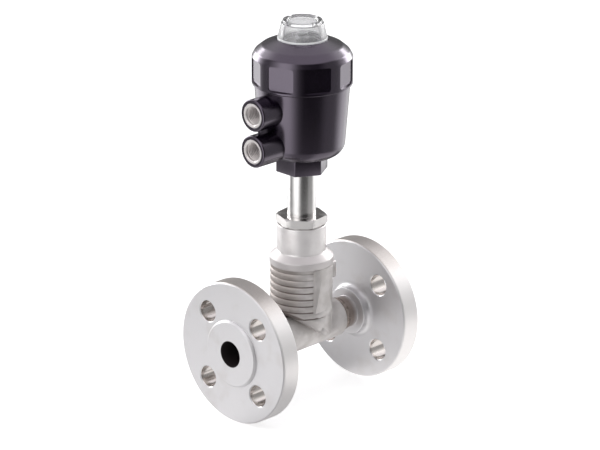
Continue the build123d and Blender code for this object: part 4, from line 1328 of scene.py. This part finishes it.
@dataclass
class Housing:
    """Moulded housing with its hexagon hub, tapered wall, skirt and two air-port bosses."""

    bottom: float = 122.0
    foot: float = 54.6
    corner: float = 9.0
    top: float = 61.6
    shoulder: float = 169.2
    shoulder_breaks: Pair = (0.5, 0.2)
    skirt: float = 58.8
    skirt_top: float = 186.0
    hex_across: float = 30.0
    hex_low: float = 110.7
    hex_turn: float = 30.0
    hex_round: float = 0.5
    hub_bore: float = 18.7
    snap_room: float = 21.8
    snap_top: float = 1.6
    snap_lead: float = 0.5
    floor: float = 126.0
    cylinder: float = 50.0
    cylinder_corner: float = 4.5
    boss: float = 21.0
    boss_root: float = 20.0
    boss_reach: float = 44.6
    boss_round: float = 1.0
    port_heights: Pair = (133.0, 157.0)
    web: float = 3.0
    web_reach: float = 38.6
    web_round: float = 0.3
    insert: float = 15.9
    insert_length: float = 12.0
    mouth_bevel: float = 0.4
    air_hole: float = 4.0

    def outside(self) -> bpy.types.Object:
        """Outer form: shell, hexagon, bosses and the web between them."""
        skirt = self.skirt / 2
        outer_break, inner_break = self.shoulder_breaks
        shell = corners(
            (0, self.bottom), (self.foot / 2, self.bottom, self.corner),
            (self.top / 2, self.shoulder, outer_break), (skirt, self.shoulder, inner_break),
            (skirt, self.skirt_top), (0, self.skirt_top),
        )
        body = Lathe(shell, segments=224, steps=10).solid("housing", BLACK)
        hub = Prism.hexagon("hub", self.hex_across, self.hex_low, self.bottom + LEAD, self.hex_turn)
        Shop.bevel(hub, self.hex_round, segments=3)
        Shop.join(body, hub, Cut.UNION)
        half = self.web / 2
        low, high = self.port_heights
        web = Prism.box("web", (STEM_X - self.web_reach, -half, low), (STEM_X - self.boss_root, half, high))
        Shop.bevel(web, self.web_round)
        Shop.join(body, web, Cut.UNION)
        tip = corners(
            (0, self.boss_root), (self.boss / 2, self.boss_root),
            (self.boss / 2, self.boss_reach, self.boss_round), (0, self.boss_reach),
        )
        self.at_ports(body, tip, Cut.UNION)
        return body

    def at_ports(self, body: bpy.types.Object, profile: Sequence[Corner], how: Cut) -> None:
        """Joins a turned shape with the housing at each air port.

        Args:
            body: The housing.
            profile: The shape's corners, along the port's axis.
            how: The way in which it is joined.
        """
        for height in self.port_heights:
            tool = Lathe(profile, Along.UPSTREAM, (STEM_X, 0.0, height), segments=144)
            Shop.join(body, tool.solid("port_tool"), how)

    def build(self, ledger: Ledger) -> None:
        """Makes the housing.

        Args:
            ledger: Where the pieces are entered.
        """
        body = self.outside()
        hub, cylinder, snap = self.hub_bore / 2, self.cylinder / 2, self.snap_room / 2
        snap_top = self.hex_low + self.snap_top
        lead, above = 2 * LEAD, self.skirt_top + LEAD
        room = corners(
            (0, self.hex_low - lead), (snap + self.snap_lead + lead, self.hex_low - lead),
            (snap, self.hex_low + self.snap_lead), (snap, snap_top), (hub, snap_top), (hub, self.floor),
            (cylinder, self.floor, self.cylinder_corner), (cylinder, above), (0, above),
        )
        Shop.join(body, Lathe(room, segments=192).solid("room"), Cut.DIFFERENCE)
        mouth, air = self.insert / 2, self.air_hole / 2
        seat, out = self.boss_reach - self.insert_length, self.boss_reach + LEAD
        hole = corners(
            (0, self.boss_root), (air, self.boss_root), (air, seat), (mouth, seat),
            (mouth, self.boss_reach - self.mouth_bevel), (mouth + self.mouth_bevel + LEAD, out), (0, out),
        )
        self.at_ports(body, hole, Cut.DIFFERENCE)
        Shop.dress(body, BLACK)
        Shop.smooth(body.data)
        ledger.enter(body, Body.ACTUATOR, "actuator_housing")


@dataclass
class PortInsert:
    """Nickel-plated threaded insert of one air port, with real thread turns."""

    name: str
    height: float
    outer: float = 15.8
    mouth: float = 13.4
    mouth_break: float = 0.15
    thread: float = 11.445
    thread_start: float = 0.7
    thread_end: float = 0.9
    length: float = Housing.insert_length
    reach: float = Housing.boss_reach
    groove: float = 0.5
    groove_width: float = 1.5
    pitch: float = 1.337
    crest: float = 0.42
    turn_steps: int = 48
    ridge_sides: int = 6

    def sleeve(self) -> bpy.types.Object:
        """Turned sleeve with a lead-in chamfer."""
        outer, mouth, thread = self.outer / 2, self.mouth / 2, self.thread / 2
        low, high = self.reach - self.length, self.reach
        middle = low + self.length / 2
        groove_low, groove_high = middle - self.groove_width / 2, middle + self.groove_width / 2
        bore, floor = thread + self.crest, outer - self.groove
        profile = corners(
            (bore, low), (outer, low), (outer, groove_low), (floor, groove_low), (floor, groove_high),
            (outer, groove_high), (outer, high, self.mouth_break), (mouth, high, self.mouth_break),
            (bore, high - mouth + bore),
        )
        lathe = Lathe(profile, Along.UPSTREAM, (STEM_X, 0.0, self.height), segments=144)
        return lathe.solid(f"{self.name}_sleeve", BRASS)

    def turns(self) -> bpy.types.Object:
        """Thread ridge wound along the bore."""
        tree = Repeater("thread_ridge", (
            ("Turns", "NodeSocketFloat", 6.0), ("Radius", "NodeSocketFloat", 0.006),
            ("Length", "NodeSocketFloat", 0.01), ("Ridge", "NodeSocketFloat", 0.0006),
        ))
        winding = {
            "Resolution": self.turn_steps, "Rotations": "Turns", "Height": "Length",
            "Start Radius": "Radius", "End Radius": "Radius",
        }
        spiral = tree.node("GeometryNodeCurveSpiral", {}, winding)
        section = {"Resolution": self.ridge_sides, "Radius": "Ridge"}
        ridge = tree.node("GeometryNodeCurvePrimitiveCircle", {"mode": "RADIUS"}, section)
        swept = {"Curve": spiral.outputs[0], "Profile Curve": ridge.outputs[0], "Fill Caps": True}
        tree.finish(tree.node("GeometryNodeCurveToMesh", {}, swept).outputs[0], BRASS)
        made = Shop.piece(f"{self.name}_thread", bpy.data.meshes.new("thread"), BRASS)
        length = self.length - (self.mouth - self.thread) / 2 - self.thread_start - self.thread_end
        tree.use(made, {
            "Turns": length / self.pitch, "Radius": (self.thread / 2 + self.crest) * MM,
            "Length": length * MM, "Ridge": self.crest * MM,
        })
        place = Vector((STEM_X - self.reach + self.length - self.thread_start, 0.0, self.height)) * MM
        made.data.transform(Matrix.Translation(place) @ Along.UPSTREAM.turn())
        Shop.smooth(made.data, angle=70)
        return made

    def build(self, ledger: Ledger) -> None:
        """Makes the sleeve and its thread.

        Args:
            ledger: Where the pieces are entered.
        """
        for made in (self.sleeve(), self.turns()):
            ledger.enter(made, Body.ACTUATOR, self.name)


@dataclass
class Cover:
    """Screwed cover with eight grip windows, a domed shoulder and the sight cap's land."""

    low: float = 169.5
    low_round: float = 0.5
    outer: float = 64.8
    ring_top: float = 187.6
    ring_round: float = 1.2
    shoulder_radius: float = 30.6
    roof: float = 193.0
    roof_corner: float = 2.0
    shoulder: float = 191.2
    shoulder_fillet: float = 4.0
    crown_radius: float = 26.0
    crown: float = 195.0
    crown_round: float = 6.0
    land_radius: float = 16.8
    land: float = 199.0
    land_break: float = 0.4
    window_count: int = 8
    window_angle: float = 31.0
    window_turn: float = 198.6
    window_low: float = 171.6
    window_high: float = 187.0
    window_floor: float = 30.55
    window_corner: float = 1.5
    window_flare: float = 0.35
    window_lead: float = 1.0
    window_steps: int = 6
    skirt: float = 58.9
    skirt_top: float = 186.1
    cylinder: float = 50.0
    rod_boss: float = 16.0
    rod_drop: float = 8.0
    tower: float = 9.0
    well: float = 27.9
    well_depth: float = 3.8
    rod: float = 5.2

    def skin(self) -> bpy.types.Object:
        """Turned outer form with the room inside cut out."""
        ring = self.outer / 2
        outside = corners(
            (0, self.low), (ring, self.low, self.low_round), (ring, self.ring_top, self.ring_round),
            (self.shoulder_radius, self.shoulder, self.shoulder_fillet),
            (self.crown_radius, self.crown, self.crown_round),
            (self.land_radius, self.land, self.land_break), (0, self.land),
        )
        skirt, room, boss = self.skirt / 2, self.cylinder / 2, self.rod_boss / 2
        below, boss_top = self.low - LEAD, self.roof - self.rod_drop
        inside = corners(
            (0, below), (skirt, below), (skirt, self.skirt_top), (room, self.skirt_top),
            (room, self.roof, self.roof_corner), (boss, self.roof), (boss, boss_top), (0, boss_top),
        )
        floor, beyond = self.land - self.well_depth, self.land + LEAD
        tower, wall, rod = self.tower / 2, self.well / 2, self.rod / 2
        well = corners((tower, floor), (wall, floor), (wall, beyond), (tower, beyond))
        hole = corners((0, self.low), (rod, self.low), (rod, beyond), (0, beyond))
        body = Lathe(outside, segments=256, steps=10).solid("cover", BLACK)
        for profile, segments in ((inside, 192), (well, 144), (hole, 96)):
            Shop.join(body, Lathe(profile, segments=segments).solid("cover_tool"), Cut.DIFFERENCE)
        return body

    def window(self) -> bpy.types.Object:
        """Cutter for one window, with round corners, a flat floor and a flared mouth."""
        middle = (self.window_high + self.window_low) / 2
        half_height = (self.window_high - self.window_low) / 2
        half_width = self.outer / 2 * sin(radians(self.window_angle / 2))
        mouth = self.outer / 2 + self.window_lead
        flared = (mouth - self.window_floor) * self.window_flare
        work = bmesh.new()
        loops = []
        for reach, grow in ((self.window_floor, 0.0), (mouth, flared)):
            loop = []
            for side_y, side_z, first in ((1, -1, -90), (1, 1, 0), (-1, 1, 90), (-1, -1, 180)):
                centre_y = side_y * (half_width - self.window_corner)
                centre_z = middle + side_z * (half_height - self.window_corner)
                for step in range(self.window_steps + 1):
                    angle = radians(first + 90 * step / self.window_steps)
                    round_out = self.window_corner + grow
                    spot = (reach, centre_y + round_out * cos(angle), centre_z + round_out * sin(angle))
                    loop.append(work.verts.new(Vector(spot) * MM))
            loops.append(loop)
        work.faces.new(loops[0])
        work.faces.new(list(reversed(loops[1])))
        for index in range(len(loops[0])):
            ahead = (index + 1) % len(loops[0])
            work.faces.new([loops[0][index], loops[1][index], loops[1][ahead], loops[0][ahead]])
        return Shop.piece("window_cutter", Shop.mesh(work, "window"), BLACK)

    def build(self, ledger: Ledger) -> None:
        """Makes the cover.

        Args:
            ledger: Where the pieces are entered.
        """
        cutters = self.window()
        tree = Repeater.round_axis("grip_windows", BLACK)
        tree.use(cutters, {"Count": self.window_count, "First Angle": radians(self.window_turn)})
        cutters.data.transform(AT_STEM)
        body = Shop.join(self.skin(), cutters, Cut.DIFFERENCE)
        Shop.dress(body, BLACK)
        Shop.smooth(body.data)
        ledger.enter(body, Body.ACTUATOR, "actuator_cover")


@dataclass
class SightCap:
    """Clear cap with a dished top and four spanner notches."""

    land: float = Cover.land
    spigot: float = 27.8
    spigot_length: float = 3.4
    base: float = 32.4
    base_break: float = 0.25
    band: float = 1.2
    band_breaks: Pair = (0.3, 0.15)
    base_step: float = 0.5
    shoulder: float = 27.2
    shoulder_z: float = 209.6
    shoulder_breaks: Pair = (0.4, 0.2)
    rim: float = 25.4
    rim_break: float = 0.4
    top: float = 211.5
    dish: float = 20.0
    dish_depth: float = 1.1
    dish_draft: float = 0.8
    dish_break: float = 0.25
    ceiling: float = 209.2
    ceiling_fillet: float = 0.6
    wall: float = 1.6
    draft: float = 2.0
    notch_count: int = 4
    notch_width: float = 3.2
    notch_turn: float = -4.0

    def build(self, ledger: Ledger) -> None:
        """Makes the cap.

        Args:
            ledger: Where the pieces are entered.
        """
        spigot, base, shoulder = self.spigot / 2, self.base / 2, self.shoulder / 2
        rim, dish = self.rim / 2, self.dish / 2
        inner, foot = spigot - self.wall, self.land - self.spigot_length
        band, floor = self.land + self.band, self.top - self.dish_depth
        profile = corners(
            (inner, foot), (spigot, foot), (spigot, self.land), (base, self.land, self.base_break),
            (base, band, self.band_breaks[0]), (base - self.base_step, band, self.band_breaks[1]),
            (shoulder, self.shoulder_z, self.shoulder_breaks[0]),
            (rim, self.shoulder_z, self.shoulder_breaks[1]), (rim, self.top, self.rim_break),
            (dish, self.top, self.dish_break), (dish - self.dish_draft, floor, self.dish_break),
            (0, floor), (0, self.ceiling), (inner - self.draft, self.ceiling, self.ceiling_fillet),
            (inner, band),
        )
        cap = Lathe(profile).solid("clear_cap", CLEAR)
        half = self.notch_width / 2
        outline = [(dish, -half), (base, -half), (base, half), (dish, half)]
        notch = Prism.make("notch", outline, self.shoulder_z, self.top + LEAD, Matrix.Identity(4))
        tree = Repeater.round_axis("spanner_notches", CLEAR)
        tree.use(notch, {"Count": self.notch_count, "First Angle": radians(self.notch_turn)})
        notch.data.transform(AT_STEM)
        Shop.join(cap, notch, Cut.DIFFERENCE)
        Shop.dress(cap, CLEAR)
        Shop.smooth(cap.data)
        ledger.enter(cap, Body.ACTUATOR, "sight_cap")


@dataclass
class InnerWorks:
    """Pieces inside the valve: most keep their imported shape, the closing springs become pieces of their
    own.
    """

    springs: tuple[str, ...] = ("main_spring", "inner_spring")
    stroke: float = 6.0
    finishes: dict[str, Finish] = field(default_factory=lambda: {
        "body_seal": FILLED_SEAL, "tube_snap_rings": SPRING, "lower_guide_bush": FILLED_SEAL,
        "packing_spring": SPRING, "thrust_ring": TURNED, "packing_rings": WHITE_SEAL,
        "support_ring": TURNED, "gland_bush": BRASS, "upper_guide_bush": FILLED_SEAL,
        "stem_seal": RUBBER, "seal_retainer": TURNED, "hub_o_rings": RUBBER, "cover_o_ring": RUBBER,
        "cap_seal": RUBBER, "spindle": ROD, "piston": BLACK, "piston_lip_seal": RUBBER,
        "piston_guide_ring": WHITE_SEAL, "piston_washer": TURNED, "piston_o_ring": RUBBER,
        "piston_nut": HEXAGON, "indicator_rod": BLACK, "indicator_cap": INDICATOR, "valve_plate": TURNED,
        "seat_seal": WHITE_SEAL, "plate_washer": TURNED, "plate_screw": HEXAGON, "plate_pins": ROD,
    })

    def spring(self, node: str, ledger: Ledger) -> None:
        """Copy of a closing spring, with its points merged and smooth shading.

        Args:
            node: The spring's node.
            ledger: Where the piece is entered.
        """
        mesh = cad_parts[node].data.copy()
        Shop.mend(mesh)
        coil = Shop.piece(f"{node}_coil", mesh, SPRING)
        Shop.smooth(coil.data, angle=50)
        ledger.enter(coil, Body.ACTUATOR, node)
        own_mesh(coil)

    def build(self, ledger: Ledger) -> None:
        """Makes the springs and gives each carried-over node its finish.

        Args:
            ledger: Where the pieces are entered.
        """
        for name in self.springs:
            self.spring(name, ledger)
        for name, finish in self.finishes.items():
            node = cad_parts[name]
            for slot in node.material_slots:
                slot.link = "OBJECT"
                slot.material = finish.material()
            LOG.info("%s: packed shape, finish %s", name, finish.name)


@dataclass(frozen=True)
class Lamp:
    """Soft square lamp: its place in millimetres, its side in metres and its power in watts."""

    name: str
    spot: Spot
    size: float
    power: float
    in_gloss: bool = False

    def light(self, aim: Vector) -> None:
        """Adds the lamp to the scene; gloss mirrors it or else it lights the surfaces.

        Args:
            aim: The place that it points at, in metres.
        """
        data = bpy.data.lights.new(self.name, "AREA")
        data.shape = "SQUARE"
        data.size = self.size
        data.energy = self.power
        made = bpy.data.objects.new(self.name, data)
        place = Vector(self.spot) * MM
        turn = (aim - place).to_track_quat("-Z", "Y").to_matrix().to_4x4()
        made.matrix_world = Matrix.Translation(place) @ turn
        made.visible_glossy = self.in_gloss
        made.visible_diffuse = not self.in_gloss
        bpy.context.scene.collection.objects.link(made)


@dataclass
class Studio:
    """Pale floor, plain light and the camera at the photograph's angle."""

    eye: Spot = (-1210.12, -1261.13, 730.67)
    aim: Spot = (62.499, -1.033, 73.179)
    roll: float = 0.262
    lens: float = 175.98
    sensor: float = 36.0
    clip: Pair = (0.05, 50.0)
    left_of_camera: float = -45.3
    lit_middle: Spot = (STEM_X, 0.0, 90.0)
    lamps: tuple[Lamp, ...] = (
        Lamp("key", (-1100, 300, 1100), 0.7, 6.0),
        Lamp("fill", (500, -1300, 900), 0.8, 2.5),
        Lamp("top", (65, 0, 1500), 0.9, 2.5),
        Lamp("left_rim", (15, 1500, 520), 0.8, 12.0, True),
        Lamp("right_rim", (1560, -60, 520), 0.8, 12.0, True),
    )
    white: Colour = (1.0, 1.0, 1.0)
    even_light: Colour = (0.60, 0.60, 0.61)
    ceiling: Colour = (1.10, 1.06, 1.12)
    ceiling_edge: Pair = (0.55, 0.85)
    beyond_cap: Colour = (2.3, 2.3, 2.35)
    flag: Colour = (0.16, 0.15, 0.16)
    flag_edge: Pair = (0.55, 0.90)
    stops: tuple[Point, ...] = (
        (0.0, 0.10), (0.045, 0.30), (0.08, 1.6), (0.13, 2.4), (0.185, 2.2), (0.215, 0.40),
        (0.26, 0.30), (0.31, 1.2), (0.355, 2.3), (0.415, 2.1), (0.445, 1.0), (0.475, 0.24),
        (0.505, 0.035), (0.57, 0.015), (0.62, 0.03), (0.67, 0.33), (0.75, 0.40), (0.82, 2.0),
        (0.92, 1.6), (0.955, 0.30), (1.0, 0.10),
    )
    floor_z: float = -47.5
    floor_depth: float = 5.0
    floor_half: float = 4000.0
    floor_paint: Colour = (0.86, 0.86, 0.86)
    floor_rough: float = 0.9
    floor_glow: float = 0.50
    near_floor: Colour = (0.55, 0.54, 0.545)
    near_reach: Pair = (0.25, 0.32)
    near_share: float = 0.9
    left_floor: Colour = (1.24, 1.23, 1.24)
    right_floor: Colour = (1.40, 1.38, 1.37)
    side_edge: Pair = (0.35, 0.85)
    behind_floor: Colour = (0.12, 0.115, 0.125)
    behind_edge: Pair = (0.3, 0.8)
    behind_reach: Pair = (0.04, 0.09)
    middle_floor: Colour = (0.55, 0.54, 0.54)
    middle_reach: Pair = (0.38, 0.43)
    middle_share: float = 0.6

    def camera(self) -> None:
        """Long-lens camera, unshifted."""
        data = bpy.data.cameras.new("camera")
        data.lens = self.lens
        data.sensor_width = self.sensor
        data.clip_start, data.clip_end = self.clip
        made = bpy.data.objects.new("camera", data)
        eye = Vector(self.eye) * MM
        look = (Vector(self.aim) * MM - eye).to_track_quat("-Z", "Y").to_matrix().to_4x4()
        roll = Matrix.Rotation(radians(self.roll), 4, "Z")
        made.matrix_world = Matrix.Translation(eye) @ look @ roll
        bpy.context.scene.collection.objects.link(made)
        bpy.context.scene.camera = made

    def facing(self, x: Wire, y: Wire) -> tuple[Wire, Wire]:
        """Turns a direction or a place round to the camera.

        Args:
            x: Its X part.
            y: Its Y part.

        Returns:
            Its parts towards the picture's right and away from the camera.
        """
        turn = radians(self.left_of_camera)
        return x * cos(turn) + y * sin(turn), y * cos(turn) - x * sin(turn)

    def studio_level(self, sheet: Sheet, x: Wire, y: Wire) -> Wire:
        """How bright the studio is in each direction round the stem, as gloss sees it.

        Args:
            sheet: The sheet that the nodes go into.
            x: Direction's or place's X part.
            y: Its Y part.

        Returns:
            Grey colour: a wide softbox at the camera's left, a dark room at its right, a pale backdrop.
        """
        to_right, away = self.facing(x, y)
        around = to_right.reckon("ARCTAN2", to_right, away * -1.0) / (2 * pi) + 0.5
        return sheet.add("ShaderNodeValToRGB", {"stops": self.stops}, {"Fac": around})

    def bearing(self, sheet: Sheet, x: Wire, y: Wire) -> tuple[Wire, Wire]:
        """Which way a direction points, as the camera sees it.

        Args:
            sheet: The sheet that the nodes go into.
            x: Direction's or place's X part.
            y: Its Y part.

        Returns:
            Its share towards the picture's right and its share away from the camera, each -1 to 1.
        """
        reach = sheet.distance(x, y)
        to_right, away = self.facing(x, y)
        return to_right / reach, away / reach

    def seen_by(self, sheet: Sheet) -> tuple[Wire, Wire, Wire]:
        """Light paths of the studio.

        Args:
            sheet: The sheet that the nodes go into.

        Returns:
            Shares for the camera, for clear plastic and for gloss.
        """
        camera = sheet.add("ShaderNodeLightPath", {}, {}, "Is Camera Ray")
        outputs = camera.socket.node.outputs
        return camera, Wire(sheet, outputs["Is Transmission Ray"]), Wire(sheet, outputs["Is Glossy Ray"])

    def world(self) -> None:
        """White to the camera, the studio's pattern to gloss, a pale card to the cap, even light else."""
        world = bpy.data.worlds.new("studio")
        world.use_nodes = True
        bpy.context.scene.world = world
        sheet = Sheet(world.node_tree)
        x, y, z = sheet.parts(sheet.add("ShaderNodeTexCoord", {}, {}, "Generated"))
        gloss = sheet.blend(z.ramp(*self.ceiling_edge), self.studio_level(sheet, x, y), self.ceiling)
        camera, clear, glossy = self.seen_by(sheet)
        colour = sheet.blend(glossy, self.even_light, gloss)
        aside, _ = self.bearing(sheet, x, y)
        through = sheet.blend(aside.size().ramp(*self.flag_edge), self.beyond_cap, self.flag)
        colour = sheet.blend(clear, colour, through)
        colour = sheet.blend(camera, colour, self.white)
        back = sheet.add("ShaderNodeBackground", {}, {"Color": colour, "Strength": 1.0})
        sheet.add("ShaderNodeOutputWorld", {}, {"Surface": back})

    def mirrored(self, sheet: Sheet, clear: Wire) -> Wire:
        """What gloss and the clear cap see in place of the floor.

        Args:
            sheet: The floor's node sheet.
            clear: Share of the rays that come through clear plastic.

        Returns:
            Its colour, which changes with the distance from the stem and the side.
        """
        x, y, _ = sheet.parts(sheet.place())
        off = x - STEM_X * MM
        reach = sheet.distance(off, y)
        aside, away = self.bearing(sheet, off, y)
        low = sheet.blend(aside.ramp(*self.side_edge), self.near_floor, self.right_floor)
        low = sheet.blend((aside * -1.0).ramp(*self.side_edge), low, self.left_floor)
        behind = away.ramp(*self.behind_edge) * reach.ramp(*self.behind_reach)
        low = sheet.blend(behind, low, self.behind_floor)
        share = reach.ramp(*self.middle_reach) * (1.0 - self.middle_share) + self.middle_share
        far = sheet.blend(share, self.middle_floor, self.studio_level(sheet, off, y))
        near = 1.0 - reach.ramp(*self.near_reach)
        gloss = sheet.blend(near * self.near_share, far, low)
        card = sheet.blend(aside.size().ramp(*self.flag_edge), self.white, self.flag)
        return sheet.blend(clear, gloss, card)

    def floor(self) -> None:
        """Pale floor that keeps the valve's shadow."""
        half = self.floor_half
        low = (-half, -half, self.floor_z - self.floor_depth)
        plate = Prism.box("floor", low, (half, half, self.floor_z))
        made = bpy.data.materials.new("pale_floor")
        made.use_nodes = True
        sheet = Sheet(made.node_tree)
        camera, clear, glossy = self.seen_by(sheet)
        coat = {"Base Color": self.floor_paint, "Roughness": self.floor_rough}
        base = sheet.add("ShaderNodeBsdfPrincipled", {}, coat)
        shown = sheet.add("ShaderNodeEmission", {}, {"Color": self.mirrored(sheet, clear), "Strength": 1.0})
        in_mirror = glossy.reckon("MAXIMUM", glossy, clear)
        plain = sheet.add("ShaderNodeMixShader", {}, {0: in_mirror, 1: base, 2: shown})
        glow = sheet.add("ShaderNodeEmission", {}, {"Color": self.white, "Strength": self.floor_glow})
        lit = sheet.add("ShaderNodeAddShader", {}, {0: base, 1: glow})
        both = sheet.add("ShaderNodeMixShader", {}, {0: camera, 1: plain, 2: lit})
        sheet.add("ShaderNodeOutputMaterial", {}, {"Surface": both})
        plate.data.materials.append(made)

    def build(self) -> None:
        """Sets up the whole studio."""
        bpy.context.scene.view_settings.view_transform = "Standard"
        self.camera()
        self.world()
        self.floor()
        for lamp in self.lamps:
            lamp.light(Vector(self.lit_middle) * MM)


def main() -> None:
    """Builds the valve's looks in order and reports each piece."""
    logging.basicConfig(level=logging.INFO, format="%(message)s")
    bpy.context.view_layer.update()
    ledger = Ledger()
    lower_port, upper_port = Housing.port_heights
    for part in (
        Flange("inlet", Along.FLOW), Flange("outlet", Along.UPSTREAM), GlobeBody(), Bonnet(), Housing(),
        PortInsert("lower_port_insert", lower_port), PortInsert("upper_port_insert", upper_port),
        Cover(), SightCap(), InnerWorks(),
    ):
        part.build(ledger)
    Studio().build()
    LOG.info("%d pieces made", len(ledger.pieces))


if __name__ == "__main__":
    main()
